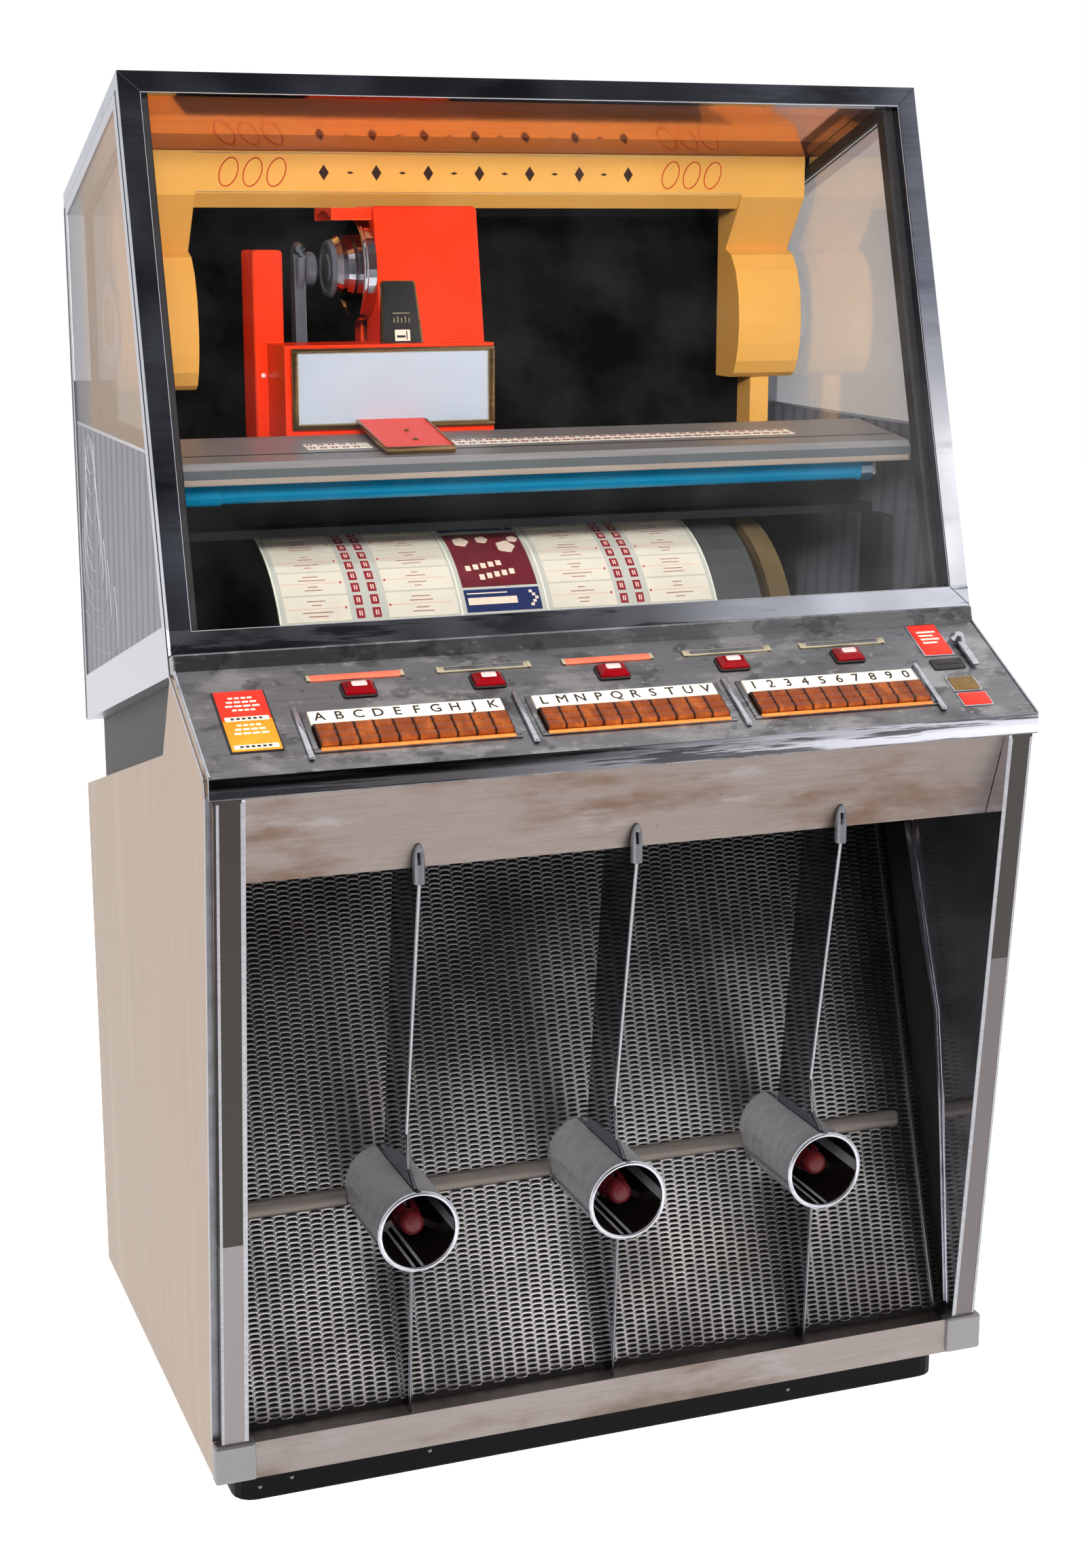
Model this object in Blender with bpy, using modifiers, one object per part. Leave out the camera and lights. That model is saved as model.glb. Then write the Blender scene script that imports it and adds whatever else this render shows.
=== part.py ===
"""A floor-standing jukebox with a glazed canopy, a sloping selector deck and three tail-light tubes.

Metres, +Z up, -Y the front, +X to the right of someone facing it. Depths in this file are counted
from the face of the foot caps, and one empty carries every piece to the middle of the floor.
"""
import math

import bmesh
import bpy
from mathutils import Matrix, Vector

# Running clearances
TOUCH = 0.0003
SLIDE = 0.0006
OVERRUN = 0.030
WELD = 0.00002

# Key banks, which set the width of the case
KEYS_PER_BANK = 10
BANK_COUNT = 3
KEY_PITCH = 0.0195
BANK_GAP = 0.034
END_PANEL = 0.0965

# Front of the case, from the floor up
PLINTH_HEIGHT = 0.040
FOOT_GAP = 0.007
KICK_HEIGHT = 0.040
FRONT_HEIGHT = 0.687
FRONT_RUN = 0.066
LIP_HEIGHT = 0.022
DECK_RISE = 0.076
DECK_RUN = 0.141
SILL_RISE = 0.015
SILL_STEP = 0.006

# Canopy
CANOPY_RISE = 0.551
CANOPY_RUN = 0.163
ROOF_SLOPE = math.radians(18.8)
WINDOW_SLOPE = math.radians(15.7)
ROOF_THICKNESS = 0.014
ROOF_SKIN = 0.002
ROOF_BORDER = 0.024
REAR_INSET = 0.010

# Title drum, whose top carries the mechanism bed
DRUM_RADIUS = 0.158
DRUM_FRONT_SPACE = 0.107
DRUM_DROP = 0.078

# Case boards and plinth
SIDE_THICKNESS = 0.020
FLOOR_THICKNESS = 0.018
BACK_THICKNESS = 0.018
CLEAT_WIDTH = 0.022
CLEAT_HEIGHT = 0.025
WINDOW_DROP = 0.005
NECK_HEIGHT = 0.0747
SHOULDER_RUN = 0.058
SHOULDER_TOP_RUN = 0.011
PLINTH_SIDE_INSET = 0.028
PLINTH_SETBACK = 0.039
PLINTH_CORNER = 0.022

# Front frame: posts, cheeks, kick rail and foot caps
POST_WIDTH = 0.034
POST_THICKNESS = 0.012
POST_INSET = 0.006
CHEEK_THICKNESS = 0.003
CHEEK_DEPTH = 0.186
CHEEK_CLEAR = 0.004
CHEEK_HEIGHT_SHARES = (0.02, 0.446, 0.633, 0.872, 1.0)
CHEEK_DEPTH_SHARES = (0.078, 0.342, 0.481, 0.817, 1.0)
RAIL_SKIN = 0.004
LEDGE_DROP = 0.005
CAP_WIDTH = 0.041
CAP_STAND_OUT = 0.004
CAP_EDGE = 0.003
CAP_RISE = 0.002

# Fascia
FASCIA_HEIGHT = 0.092
FASCIA_SETBACK = 0.008
FASCIA_TUCK = 0.033
FASCIA_SKIN = 0.004
FASCIA_RETURN = 0.018

# Grille
GRILLE_FOOT_DEPTH = 0.037
GRILLE_RUN = 0.180
GRILLE_THICKNESS = 0.010

# Tail-light tubes and their fins
TUBE_SPACING = 0.229
TUBE_HEIGHT = 0.2985
TUBE_RADIUS = 0.0415
TUBE_WALL = 0.0025
TUBE_MOUTH_DEPTH = -0.019
RIM_RADIUS = 0.0018
FIN_THICKNESS = 0.004
FIN_TOP_CHORD = 0.082
FIN_FOOT_CHORD = 0.105
FIN_SETBACK = 0.014
FIN_OVERLAP = 0.030
FINIAL_RADIUS = 0.0062
FINIAL_LENGTH = 0.040
LENS_RADIUS = 0.016
LENS_LENGTH = 0.030
SPIDER_DEPTH = 0.050
SPIDER_THICKNESS = 0.004
SPIDER_ARM = 0.007

# Selector deck
DECK_SKIN = 0.004
LIP_RETURN = 0.010
SILL_DEPTH = 0.0185
SILL_FRONT = 0.004
SILL_HEIGHT = 0.020
KEY_START = 0.0295
KEY_DEPTH = 0.032
KEY_TOP = 0.0065
KEY_FOOT = 0.012
KEY_TRAVEL = 0.004
KEY_RIDGE = 0.0015
KEY_NOSE = 0.0025
BUTTON_COUNT = 5
BUTTON_SPACING = 0.1335
BUTTON_ALONG = 0.1125
BUTTON_WIDTH = 0.031
BUTTON_DEPTH = 0.018
BUTTON_TOP = 0.008
BUTTON_FACET = 0.004
BUTTON_FOOT = 0.012
LEVER_INSET = 0.036
LEVER_ALONG = 0.125
LEVER_LENGTH = 0.045
LEVER_WIDTH = 0.008
LEVER_HEIGHT = 0.006
LEVER_BOSS_RADIUS = 0.009
LEVER_BOSS_HEIGHT = 0.010

# Lid, glass and canopy housing
STILE_WIDTH = 0.021
HEAD_WIDTH = 0.020
FRAME_DEPTH = 0.014
GLASS_THICKNESS = 0.004
GLASS_LAP = 0.003
LID_CLEAR = 0.0009
HOUSING_WALL = 0.012
HOUSING_LIP = 0.012
TUB_GAP = 0.013
TUB_CHAMFER = 0.045
WINDOW_FRONT_STILE = 0.014
WINDOW_TOP_RAIL = 0.012
WINDOW_REAR_STILE = 0.0145
WINDOW_FOOT_RAIL = 0.050
BED_POST_WIDTH = 0.014
BED_POST_DEPTH = 0.050
BED_POST_FRONT_SPACE = 0.120
BED_POST_REAR_SPACE = 0.360
BOSS_RADIUS = 0.018
BOSS_LENGTH = 0.014

# Drum pieces
DRUM_LEFT_SPACE = 0.108
DRUM_LENGTH = 0.550
DRUM_WALL = 0.004
SHAFT_RADIUS = 0.008
WHEEL_GAP = 0.012
WHEEL_WIDTH = 0.023
WHEEL_STEP = 0.002
SHAFT_RUNNING = 0.0003

# Mechanism bed, scale rail, lamp and record comb
BED_GAP = 0.006
BED_THICKNESS = 0.009
BED_FRONT_SPACE = 0.169
BED_REAR_SPACE = 0.023
RAIL_HEIGHT = 0.086
RAIL_DEPTH = 0.125
RAIL_RISE = 0.0155
RAIL_FRONT_SPACE = 0.085
APRON_HEIGHT = 0.021
RAIL_SKIN_THICKNESS = 0.0035
APRON_THICKNESS = 0.010
APRON_ROUND = 0.007
LAMP_RADIUS = 0.013
LAMP_SETBACK = 0.014
LAMP_DROP = 0.019
LAMP_END_SPACE = 0.033
LAMP_CAP_LENGTH = 0.014
HANGER_WIDTH = 0.006
COMB_GAP = 0.003
COMB_DEPTH = 0.105
COMB_HEIGHT = 0.046
COMB_FLOOR = 0.036
COMB_PITCH = 0.020
COMB_TOOTH = 0.008
COMB_TEETH = 30
COMB_REAR_SPACE = 0.012

# Carriage, cover, turntable and tone arm
CARRIAGE_LEFT_SPACE = 0.1287
COLUMN_WIDTH = 0.033
BAY_WIDTH = 0.094
TOWER_WIDTH = 0.118
TOWER_SETBACK = 0.007
TOWER_RUN = 0.043
HOOD_WIDTH = 0.044
HOOD_SETBACK = 0.018
COVER_SKIN = 0.003
COVER_GAP = 0.002
COVER_DEPTH = 0.130
COVER_HEADROOM = 0.0515
COLUMN_DROP = 0.046
BOX_HEIGHT = 0.108
BOX_INSET = 0.013
BOX_DEPTH = 0.075
COVER_FOOT = 0.025
COVER_EDGE = 0.004
POINTER_WIDTH = 0.075
POINTER_LENGTH = 0.108
POINTER_FRONT_LIFT = 0.003
POINTER_REAR_LIFT = 0.012
POINTER_THICKNESS = 0.0035
POINTER_START = 0.076
CARRIAGE_BASE = 0.026
CARRIAGE_INSET = 0.012
UPRIGHT_THICKNESS = 0.008
UPRIGHT_DEPTH = 0.040
TURNTABLE_RADIUS = 0.055
TURNTABLE_DROP = 0.066
TURNTABLE_WIDTH = 0.012
TURNTABLE_REAR_SPACE = 0.038
HUB_RADIUS = 0.036
HUB_WIDTH = 0.026
SPINDLE_RADIUS = 0.006
HOOD_CLEARANCE = 0.006
ARM_THICKNESS = 0.012
ARM_WIDTH = 0.030
ARM_PIVOT_RISE = 0.046
ARM_INSET = 0.0084
ARM_TOP_DROP = 0.050
ARM_PIN_RADIUS = 0.004
EAR_THICKNESS = 0.006

# Header arch
HEADER_SETBACK = 0.130
HEADER_THICKNESS = 0.016
HEADER_ROOF_GAP = 0.002
BAND_HEIGHT = 0.0445
BAND_BEVEL = 0.015
BRACKET_WIDTH = 0.081
BRACKET_STEP = 0.002
HEADER_END_SPACE = 0.003
WAIST_DEPTH = 0.0425
BULGE_DEPTH = 0.0005
FOOT_DEPTH = 0.024
BRACKET_BACK = 0.064
WAIST_DROP = 0.106
BULGE_DROP = 0.190
SCALLOP_DROP = 0.255
BRACKET_FOOT_WIDTH = 0.024
BRACKET_FOOT_INSET = 0.028

# Amplifier and loudspeaker
AMP_WIDTH = 0.300
AMP_DEPTH = 0.150
AMP_HEIGHT = 0.060
AMP_REAR_SPACE = 0.030
TRANSFORMER_SIZE = 0.080
VALVE_RADIUS = 0.016
VALVE_HEIGHT = 0.090
BAFFLE_THICKNESS = 0.018
BAFFLE_FOOT_GAP = 0.020
BAFFLE_HEIGHT = 0.430
CONE_RADIUS = 0.130
CONE_DEPTH = 0.060
MAGNET_RADIUS = 0.055
MAGNET_DEPTH = 0.030
BASKET_WALL = 0.004

ROUND_STEPS = 40
SMALL_STEPS = 20

# Places worked out from the sizes
BANK_WIDTH = KEYS_PER_BANK * KEY_PITCH
BANK_SPACING = BANK_WIDTH + BANK_GAP
HALF = BANK_COUNT * BANK_SPACING / 2 + END_PANEL
KICK_LOW_Z = PLINTH_HEIGHT + FOOT_GAP
KICK_Z = KICK_LOW_Z + KICK_HEIGHT
LIP_LOW_Z = KICK_Z + FRONT_HEIGHT
LIP_Z = LIP_LOW_Z + LIP_HEIGHT
DECK_Z = LIP_Z + DECK_RISE
GLASS_Z = DECK_Z + SILL_RISE
TOP_Z = GLASS_Z + CANOPY_RISE
LIP_Y = -FRONT_RUN
DECK_Y = LIP_Y + DECK_RUN
GLASS_Y = DECK_Y + SILL_STEP
TOP_Y = GLASS_Y + CANOPY_RUN
DRUM_Y = GLASS_Y + DRUM_FRONT_SPACE + DRUM_RADIUS
DRUM_Z = GLASS_Z - DRUM_DROP
TUB_LOW_Z = DRUM_Z - DRUM_RADIUS - TUB_GAP
HOUSING_HALF = HALF - SIDE_THICKNESS - TOUCH
INNER_HALF = HOUSING_HALF - HOUSING_WALL
BED_LOW_Z = DRUM_Z + DRUM_RADIUS + BED_GAP
BED_Z = BED_LOW_Z + BED_THICKNESS
RAIL_Z = BED_LOW_Z + RAIL_HEIGHT
RAIL_Y = GLASS_Y + RAIL_FRONT_SPACE
RAIL_REAR_Y = RAIL_Y + RAIL_DEPTH
COVER_Y = RAIL_REAR_Y + COVER_GAP
COVER_REAR_Y = COVER_Y + COVER_DEPTH
COMB_REAR_Y = COVER_REAR_Y + COMB_GAP + COMB_DEPTH
BED_REAR_Y = COMB_REAR_Y + COMB_REAR_SPACE
CANOPY_REAR_Y = BED_REAR_Y + BED_REAR_SPACE + HOUSING_WALL
REAR_Y = CANOPY_REAR_Y + REAR_INSET
MIDDLE_Y = (LIP_Y + REAR_Y) / 2
HEADER_Y = RAIL_REAR_Y + HEADER_SETBACK + BAND_BEVEL


class Face:
    """A sloping plane across the case: points on it are a distance along its slope and out of it."""

    def __init__(self, y, z, angle):
        self.y = y
        self.z = z
        self.angle = angle

    def point(self, along, out):
        """The depth and height of a point on the face."""
        c = math.cos(self.angle)
        s = math.sin(self.angle)
        return self.y + along * c - out * s, self.z + along * s + out * c


DECK_FACE = Face(LIP_Y, LIP_Z, math.atan2(DECK_RISE, DECK_RUN))
DECK_LENGTH = math.hypot(DECK_RISE, DECK_RUN)
GLASS_FACE = Face(GLASS_Y, GLASS_Z, math.atan2(CANOPY_RISE, CANOPY_RUN))
GLASS_LENGTH = math.hypot(CANOPY_RISE, CANOPY_RUN)
GRILLE_FOOT_Z = KICK_Z - LEDGE_DROP
GRILLE_TOP_Z = TUB_LOW_Z - TOUCH - LEDGE_DROP
GRILLE_FACE = Face(GRILLE_FOOT_DEPTH, GRILLE_FOOT_Z, math.atan2(GRILLE_TOP_Z - GRILLE_FOOT_Z, GRILLE_RUN))
GRILLE_LENGTH = math.hypot(GRILLE_TOP_Z - GRILLE_FOOT_Z, GRILLE_RUN)


def post_y(z):
    """Depth of the leaning front of the posts at a height."""
    height_share = (z - KICK_Z) / FRONT_HEIGHT
    return -FRONT_RUN * height_share


def roof_z(y):
    """Height of the roof's top at a depth."""
    return TOP_Z - math.tan(ROOF_SLOPE) * (y - TOP_Y)


def window_z(y):
    """Height of the side window frame's foot at a depth."""
    return DECK_Z - WINDOW_DROP - math.tan(WINDOW_SLOPE) * (y - GLASS_Y)


def rail_z(y):
    """Height of the scale rail's top at a depth."""
    depth_share = (y - RAIL_Y) / RAIL_DEPTH
    return RAIL_Z + RAIL_RISE * depth_share


def grille_y(z):
    """Depth of the grille's front at a height."""
    height_share = (z - GRILLE_FOOT_Z) / (GRILLE_TOP_Z - GRILLE_FOOT_Z)
    return GRILLE_FOOT_DEPTH + GRILLE_RUN * height_share


def clear_scene():
    for obj in list(bpy.data.objects):
        bpy.data.objects.remove(obj, do_unlink=True)


def collection(name):
    group = bpy.data.collections.new(name)
    bpy.context.scene.collection.children.link(group)
    return group


def material(name, colour, roughness, metallic=0.0, clear=0.0):
    """A Principled material, clear for glass."""
    made = bpy.data.materials.new(name)
    made.use_nodes = True
    shader = made.node_tree.nodes["Principled BSDF"]
    shader.inputs["Base Color"].default_value = (*colour, 1.0)
    shader.inputs["Roughness"].default_value = roughness
    shader.inputs["Metallic"].default_value = metallic
    shader.inputs["Transmission Weight"].default_value = clear
    return made


clear_scene()
PARTS = collection("jukebox")
CUTTERS = collection("jukebox_cutters")
STAND = bpy.data.objects.new("jukebox_stand", None)
PARTS.objects.link(STAND)
STAND.location = (0.0, -MIDDLE_Y, 0.0)

CREAM = material("cream_laminate", (0.78, 0.70, 0.58), 0.45)
CHARCOAL = material("charcoal_paint", (0.10, 0.10, 0.10), 0.55)
BLACK = material("black_paint", (0.015, 0.015, 0.017), 0.40)
CHROME = material("chrome", (0.72, 0.73, 0.76), 0.12, 1.0)
BRUSHED = material("brushed_metal", (0.50, 0.46, 0.44), 0.38, 1.0)
CASTING = material("cast_metal", (0.55, 0.55, 0.57), 0.45, 1.0)
MESH = material("silver_mesh", (0.42, 0.41, 0.40), 0.40, 1.0)
AMBER = material("amber_keys", (0.45, 0.17, 0.035), 0.18)
RUBY = material("ruby_buttons", (0.35, 0.004, 0.012), 0.08)
YELLOW = material("yellow_header", (0.90, 0.52, 0.10), 0.40)
RED = material("red_cover", (0.85, 0.10, 0.03), 0.30)
GREY = material("grey_mechanism", (0.22, 0.22, 0.24), 0.40, 0.6)
TEAL = material("teal_lamp", (0.0, 0.16, 0.28), 0.30)
CARD = material("title_cards", (0.80, 0.75, 0.66), 0.60)
GLASS = material("clear_glass", (0.95, 0.98, 0.98), 0.02, 0.0, 1.0)
BOARD = material("speaker_board", (0.12, 0.09, 0.06), 0.80)


def add(name, mesh, matrix, finish=None):
    """Puts a mesh into the object under the stand."""
    obj = bpy.data.objects.new(name, mesh)
    PARTS.objects.link(obj)
    obj.parent = STAND
    obj.matrix_basis = matrix
    if finish:
        mesh.materials.append(finish)
    return obj


def box(name, low, high, finish=None, edge=0.0):
    """A box between two corners, with its edges bevelled if asked."""
    middle = [(a + b) / 2 for a, b in zip(low, high)]
    size = [b - a for a, b in zip(low, high)]
    return sized_box(name, size, Matrix.Translation(middle), finish, edge)


def sized_box(name, size, matrix, finish=None, edge=0.0):
    """A box of a size about the origin of a matrix."""
    mesh = bpy.data.meshes.new(name)
    shape = bmesh.new()
    bmesh.ops.create_cube(shape, size=1.0)
    bmesh.ops.scale(shape, vec=size, verts=shape.verts)
    shape.to_mesh(mesh)
    shape.free()
    obj = add(name, mesh, matrix, finish)
    if edge:
        soften(obj, edge)
    return obj


def soften(obj, width, segments=2):
    bevel = obj.modifiers.new("edges", "BEVEL")
    bevel.width = width
    bevel.segments = segments
    bevel.limit_method = "ANGLE"


def face_box(name, face, x_low, x_high, along, out, finish=None, edge=0.0):
    """A box that lies on a sloping face."""
    y, z = face.point(sum(along) / 2, sum(out) / 2)
    size = (x_high - x_low, along[1] - along[0], out[1] - out[0])
    turn = Matrix.Rotation(face.angle, 4, "X")
    return sized_box(name, size, Matrix.Translation(((x_low + x_high) / 2, y, z)) @ turn, finish, edge)


def flat_outline(name, points, thickness, matrix, finish=None):
    """A filled 2D curve of a thickness, made a mesh so that it can be cut and joined."""
    curve = bpy.data.curves.new(name, "CURVE")
    curve.dimensions = "2D"
    curve.fill_mode = "BOTH"
    curve.extrude = thickness / 2
    spline = curve.splines.new("POLY")
    spline.points.add(len(points) - 1)
    for point, (a, b) in zip(spline.points, points):
        point.co = (a, b, 0.0, 1.0)
    spline.use_cyclic_u = True
    drawn = bpy.data.objects.new(name, curve)
    bpy.context.scene.collection.objects.link(drawn)
    graph = bpy.context.evaluated_depsgraph_get()
    mesh = bpy.data.meshes.new_from_object(drawn.evaluated_get(graph))
    bpy.data.objects.remove(drawn, do_unlink=True)
    bpy.data.curves.remove(curve)
    shape = bmesh.new()
    shape.from_mesh(mesh)
    bmesh.ops.remove_doubles(shape, verts=shape.verts, dist=WELD)
    bmesh.ops.recalc_face_normals(shape, faces=shape.faces)
    shape.to_mesh(mesh)
    shape.free()
    mesh.name = name
    return add(name, mesh, matrix, finish)


def side_outline(name, points, x_low, x_high, finish=None, pivot=(0.0, 0.0)):
    """An outline in depth and height, drawn out across the case, with its origin at the pivot."""
    y, z = pivot
    turn = Matrix(((0, 0, 1, (x_low + x_high) / 2), (1, 0, 0, y), (0, 1, 0, z), (0, 0, 0, 1)))
    moved = [(a - y, b - z) for a, b in points]
    return flat_outline(name, moved, x_high - x_low, turn, finish)


def front_outline(name, points, y_low, y_high, finish=None):
    """An outline in width and height, drawn out from front to back."""
    turn = Matrix(((1, 0, 0, 0), (0, 0, -1, (y_low + y_high) / 2), (0, 1, 0, 0), (0, 0, 0, 1)))
    return flat_outline(name, points, y_high - y_low, turn, finish)


def turned(name, profile, matrix, finish=None, steps=ROUND_STEPS):
    """A turned piece: radius and height pairs, top to bottom, about the local Z of a matrix."""
    mesh = bpy.data.meshes.new(name)
    points = [(radius, 0.0, height) for radius, height in profile]
    mesh.from_pydata(points, [(i, i + 1) for i in range(len(points) - 1)], [])
    obj = add(name, mesh, matrix, finish)
    screw = obj.modifiers.new("turn", "SCREW")
    screw.steps = steps
    screw.render_steps = steps
    screw.use_merge_vertices = True
    screw.merge_threshold = WELD
    return obj


def across(x, y, z):
    """Local Z along +X."""
    return Matrix.Translation((x, y, z)) @ Matrix.Rotation(math.pi / 2, 4, "Y")


def inward(x, y, z):
    """Local Z along +Y, from the front to the rear."""
    return Matrix.Translation((x, y, z)) @ Matrix.Rotation(-math.pi / 2, 4, "X")


def upright(x, y, z):
    return Matrix.Translation((x, y, z))


def combine(target, tool, operation):
    """Cuts, joins or trims a piece by a tool, which then leaves the object."""
    step = target.modifiers.new(tool.name, "BOOLEAN")
    step.operation = operation
    step.solver = "EXACT"
    step.object = tool
    PARTS.objects.unlink(tool)
    CUTTERS.objects.link(tool)
    tool.hide_render = True
    tool.display_type = "WIRE"
    return target


def join(target, *tools):
    for tool in tools:
        combine(target, tool, "UNION")
    return target


def cut(target, *tools):
    for tool in tools:
        combine(target, tool, "DIFFERENCE")
    return target


def carry(name, place, *pieces):
    """An empty on a joint's axis that carries the pieces which move on it."""
    mover = bpy.data.objects.new(name, None)
    PARTS.objects.link(mover)
    mover.parent = STAND
    mover.matrix_basis = Matrix.Translation(place)
    for piece in pieces:
        local = piece.matrix_basis.copy()
        piece.parent = mover
        piece.matrix_basis = Matrix.Translation(place).inverted() @ local
    return mover


def smooth(obj):
    obj.data.shade_smooth()
    obj.data.set_sharp_from_angle(angle=math.radians(35))


def inset(points, distances):
    """A convex outline, counter-clockwise, with each edge from a point to the next moved inwards."""
    lines = []
    for i, (a, b) in enumerate(zip(points, points[1:] + points[:1])):
        direction = (Vector(b) - Vector(a)).normalized()
        normal = Vector((-direction.y, direction.x))
        lines.append((Vector(a) + normal * distances[i], direction))
    corners = []
    for (p, d), (q, e) in zip(lines[-1:] + lines[:-1], lines):
        t = ((q - p).x * e.y - (q - p).y * e.x) / (d.x * e.y - d.y * e.x)
        corners.append(tuple(p + d * t))
    return corners


def along_glass(out, z):
    """Depth of the plane a distance behind the canopy's front, at a height."""
    y, base = GLASS_FACE.point(0.0, out)
    return y + (z - base) / math.tan(GLASS_FACE.angle)


def roof_meets_glass(out, drop):
    """Where a plane behind the glass meets a line below the roof."""
    y, z = GLASS_FACE.point(0.0, out)
    slope = math.tan(GLASS_FACE.angle)
    fall = math.tan(ROOF_SLOPE)
    depth = (TOP_Z - drop + fall * TOP_Y - z + slope * y) / (slope + fall)
    return depth, roof_z(depth) - drop


def window_outline(lift):
    """The side window frame's outer outline, from its front foot round, counter-clockwise."""
    back = FRAME_DEPTH + GLASS_THICKNESS + LID_CLEAR
    foot_y = along_glass(-back, window_z(GLASS_Y))
    head = roof_meets_glass(-back, lift)
    return [
        (foot_y, window_z(foot_y)),
        (CANOPY_REAR_Y, window_z(CANOPY_REAR_Y)),
        (CANOPY_REAR_Y, roof_z(CANOPY_REAR_Y) - lift),
        head,
    ]


def roof_underside():
    """The roof's thickness measured upright, with the seat under it."""
    return ROOF_THICKNESS / math.cos(ROOF_SLOPE) + TOUCH


def plinth():
    obj = box(
        "plinth",
        (-HALF + PLINTH_SIDE_INSET, PLINTH_SETBACK, 0.0),
        (HALF - PLINTH_SIDE_INSET, REAR_Y - PLINTH_SIDE_INSET, PLINTH_HEIGHT),
        BLACK,
    )
    shape = bmesh.new()
    shape.from_mesh(obj.data)
    upright_edges = [e for e in shape.edges if abs((e.verts[0].co - e.verts[1].co).normalized().z) > 0.5]
    bmesh.ops.bevel(shape, geom=upright_edges, offset=PLINTH_CORNER, segments=4, profile=0.5, affect="EDGES")
    shape.to_mesh(obj.data)
    shape.free()


def side_panel(name, x_low, x_high):
    """One laminated side: it follows the posts in front, the deck above them and slopes down to the rear."""
    rear_top = window_z(REAR_Y) - NECK_HEIGHT
    shoulder = GLASS_Y + SHOULDER_RUN
    under = DECK_SKIN + TOUCH
    sill_low = GLASS_FACE.point(-SILL_HEIGHT, SILL_FRONT - SILL_DEPTH)[1] - TOUCH
    up = math.sin(DECK_FACE.angle)
    rise = sill_low - LIP_Z + under * math.cos(DECK_FACE.angle)
    behind = POST_THICKNESS + TOUCH
    low_y = post_y(KICK_LOW_Z) + behind
    front_along = (LIP_Y + behind + LIP_RETURN - LIP_Y) / math.cos(DECK_FACE.angle)
    front_top = DECK_FACE.point(front_along, -under)
    points = [
        (low_y, KICK_LOW_Z),
        (REAR_Y, KICK_LOW_Z),
        (REAR_Y, rear_top),
        (shoulder, window_z(shoulder) - NECK_HEIGHT),
        (GLASS_Y + SHOULDER_TOP_RUN, sill_low),
        DECK_FACE.point(rise / up, -under),
        front_top,
        (front_top[0], LIP_LOW_Z - DECK_SKIN),
        (post_y(LIP_LOW_Z - DECK_SKIN) + behind, LIP_LOW_Z - DECK_SKIN),
    ]
    return side_outline(name, points, x_low, x_high, CREAM)


def cabinet_shell():
    """Two sides, floor, back board and the cleats that carry the canopy housing."""
    shell = side_panel("cabinet_shell", -HALF, -HALF + SIDE_THICKNESS)
    right = side_panel("shell_right_side", HALF - SIDE_THICKNESS, HALF)
    lap = SIDE_THICKNESS / 2
    floor_y = GRILLE_FOOT_DEPTH + GRILLE_THICKNESS + BAFFLE_THICKNESS
    floor = box(
        "shell_floor",
        (-HALF + lap, floor_y, PLINTH_HEIGHT + TOUCH),
        (HALF - lap, REAR_Y - lap, PLINTH_HEIGHT + FLOOR_THICKNESS),
    )
    back = box(
        "shell_back",
        (-HALF + lap, REAR_Y - BACK_THICKNESS, PLINTH_HEIGHT + FLOOR_THICKNESS / 2),
        (HALF - lap, REAR_Y - TOUCH, TUB_LOW_Z - TOUCH),
    )
    join(shell, right, floor, back)
    for name, sign in (("shell_cleat_left", -1), ("shell_cleat_right", 1)):
        ends = sorted((sign * (HALF - lap), sign * (HALF - SIDE_THICKNESS - CLEAT_WIDTH)))
        cleat = box(
            name,
            (ends[0], grille_y(TUB_LOW_Z) + GRILLE_THICKNESS + CLEAT_WIDTH, TUB_LOW_Z - TOUCH - CLEAT_HEIGHT),
            (ends[1], REAR_Y - BACK_THICKNESS / 2, TUB_LOW_Z - TOUCH),
        )
        join(shell, cleat)


def post(name, side):
    """A leaning post with the polished cheek behind its inner edge."""
    bottom = KICK_Z - KICK_HEIGHT / 2
    top = LIP_LOW_Z - TOUCH
    points = [
        (post_y(bottom), bottom),
        (post_y(bottom) + POST_THICKNESS, bottom),
        (post_y(top) + POST_THICKNESS, top),
        (post_y(top), top),
    ]
    ends = sorted((side * (HALF - POST_INSET), side * (HALF - POST_WIDTH)))
    body = side_outline(name, points, *ends, CASTING)
    inner = HALF - POST_WIDTH
    ends = sorted((side * (inner + TOUCH), side * (inner + TOUCH + CHEEK_THICKNESS)))
    low = KICK_Z + CHEEK_THICKNESS
    shoulder = TUB_LOW_Z - CHEEK_THICKNESS
    lap = POST_THICKNESS / 2
    outline = [(post_y(top) + lap, top), (post_y(low) + lap, low)]
    for height, depth in zip(CHEEK_HEIGHT_SHARES, CHEEK_DEPTH_SHARES):
        z = low + (shoulder - low) * height
        outline.append((post_y(z) + CHEEK_DEPTH * depth, z))
    wall_y = GLASS_FACE.point(0.0, -FRAME_DEPTH - GLASS_THICKNESS - LID_CLEAR)[0]
    outline.append((wall_y - CHEEK_CLEAR, TUB_LOW_Z + TUB_CHAMFER))
    outline.append((wall_y - CHEEK_CLEAR, top))
    cheek = side_outline(name + "_cheek", outline, *ends)
    return join(body, cheek)


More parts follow.
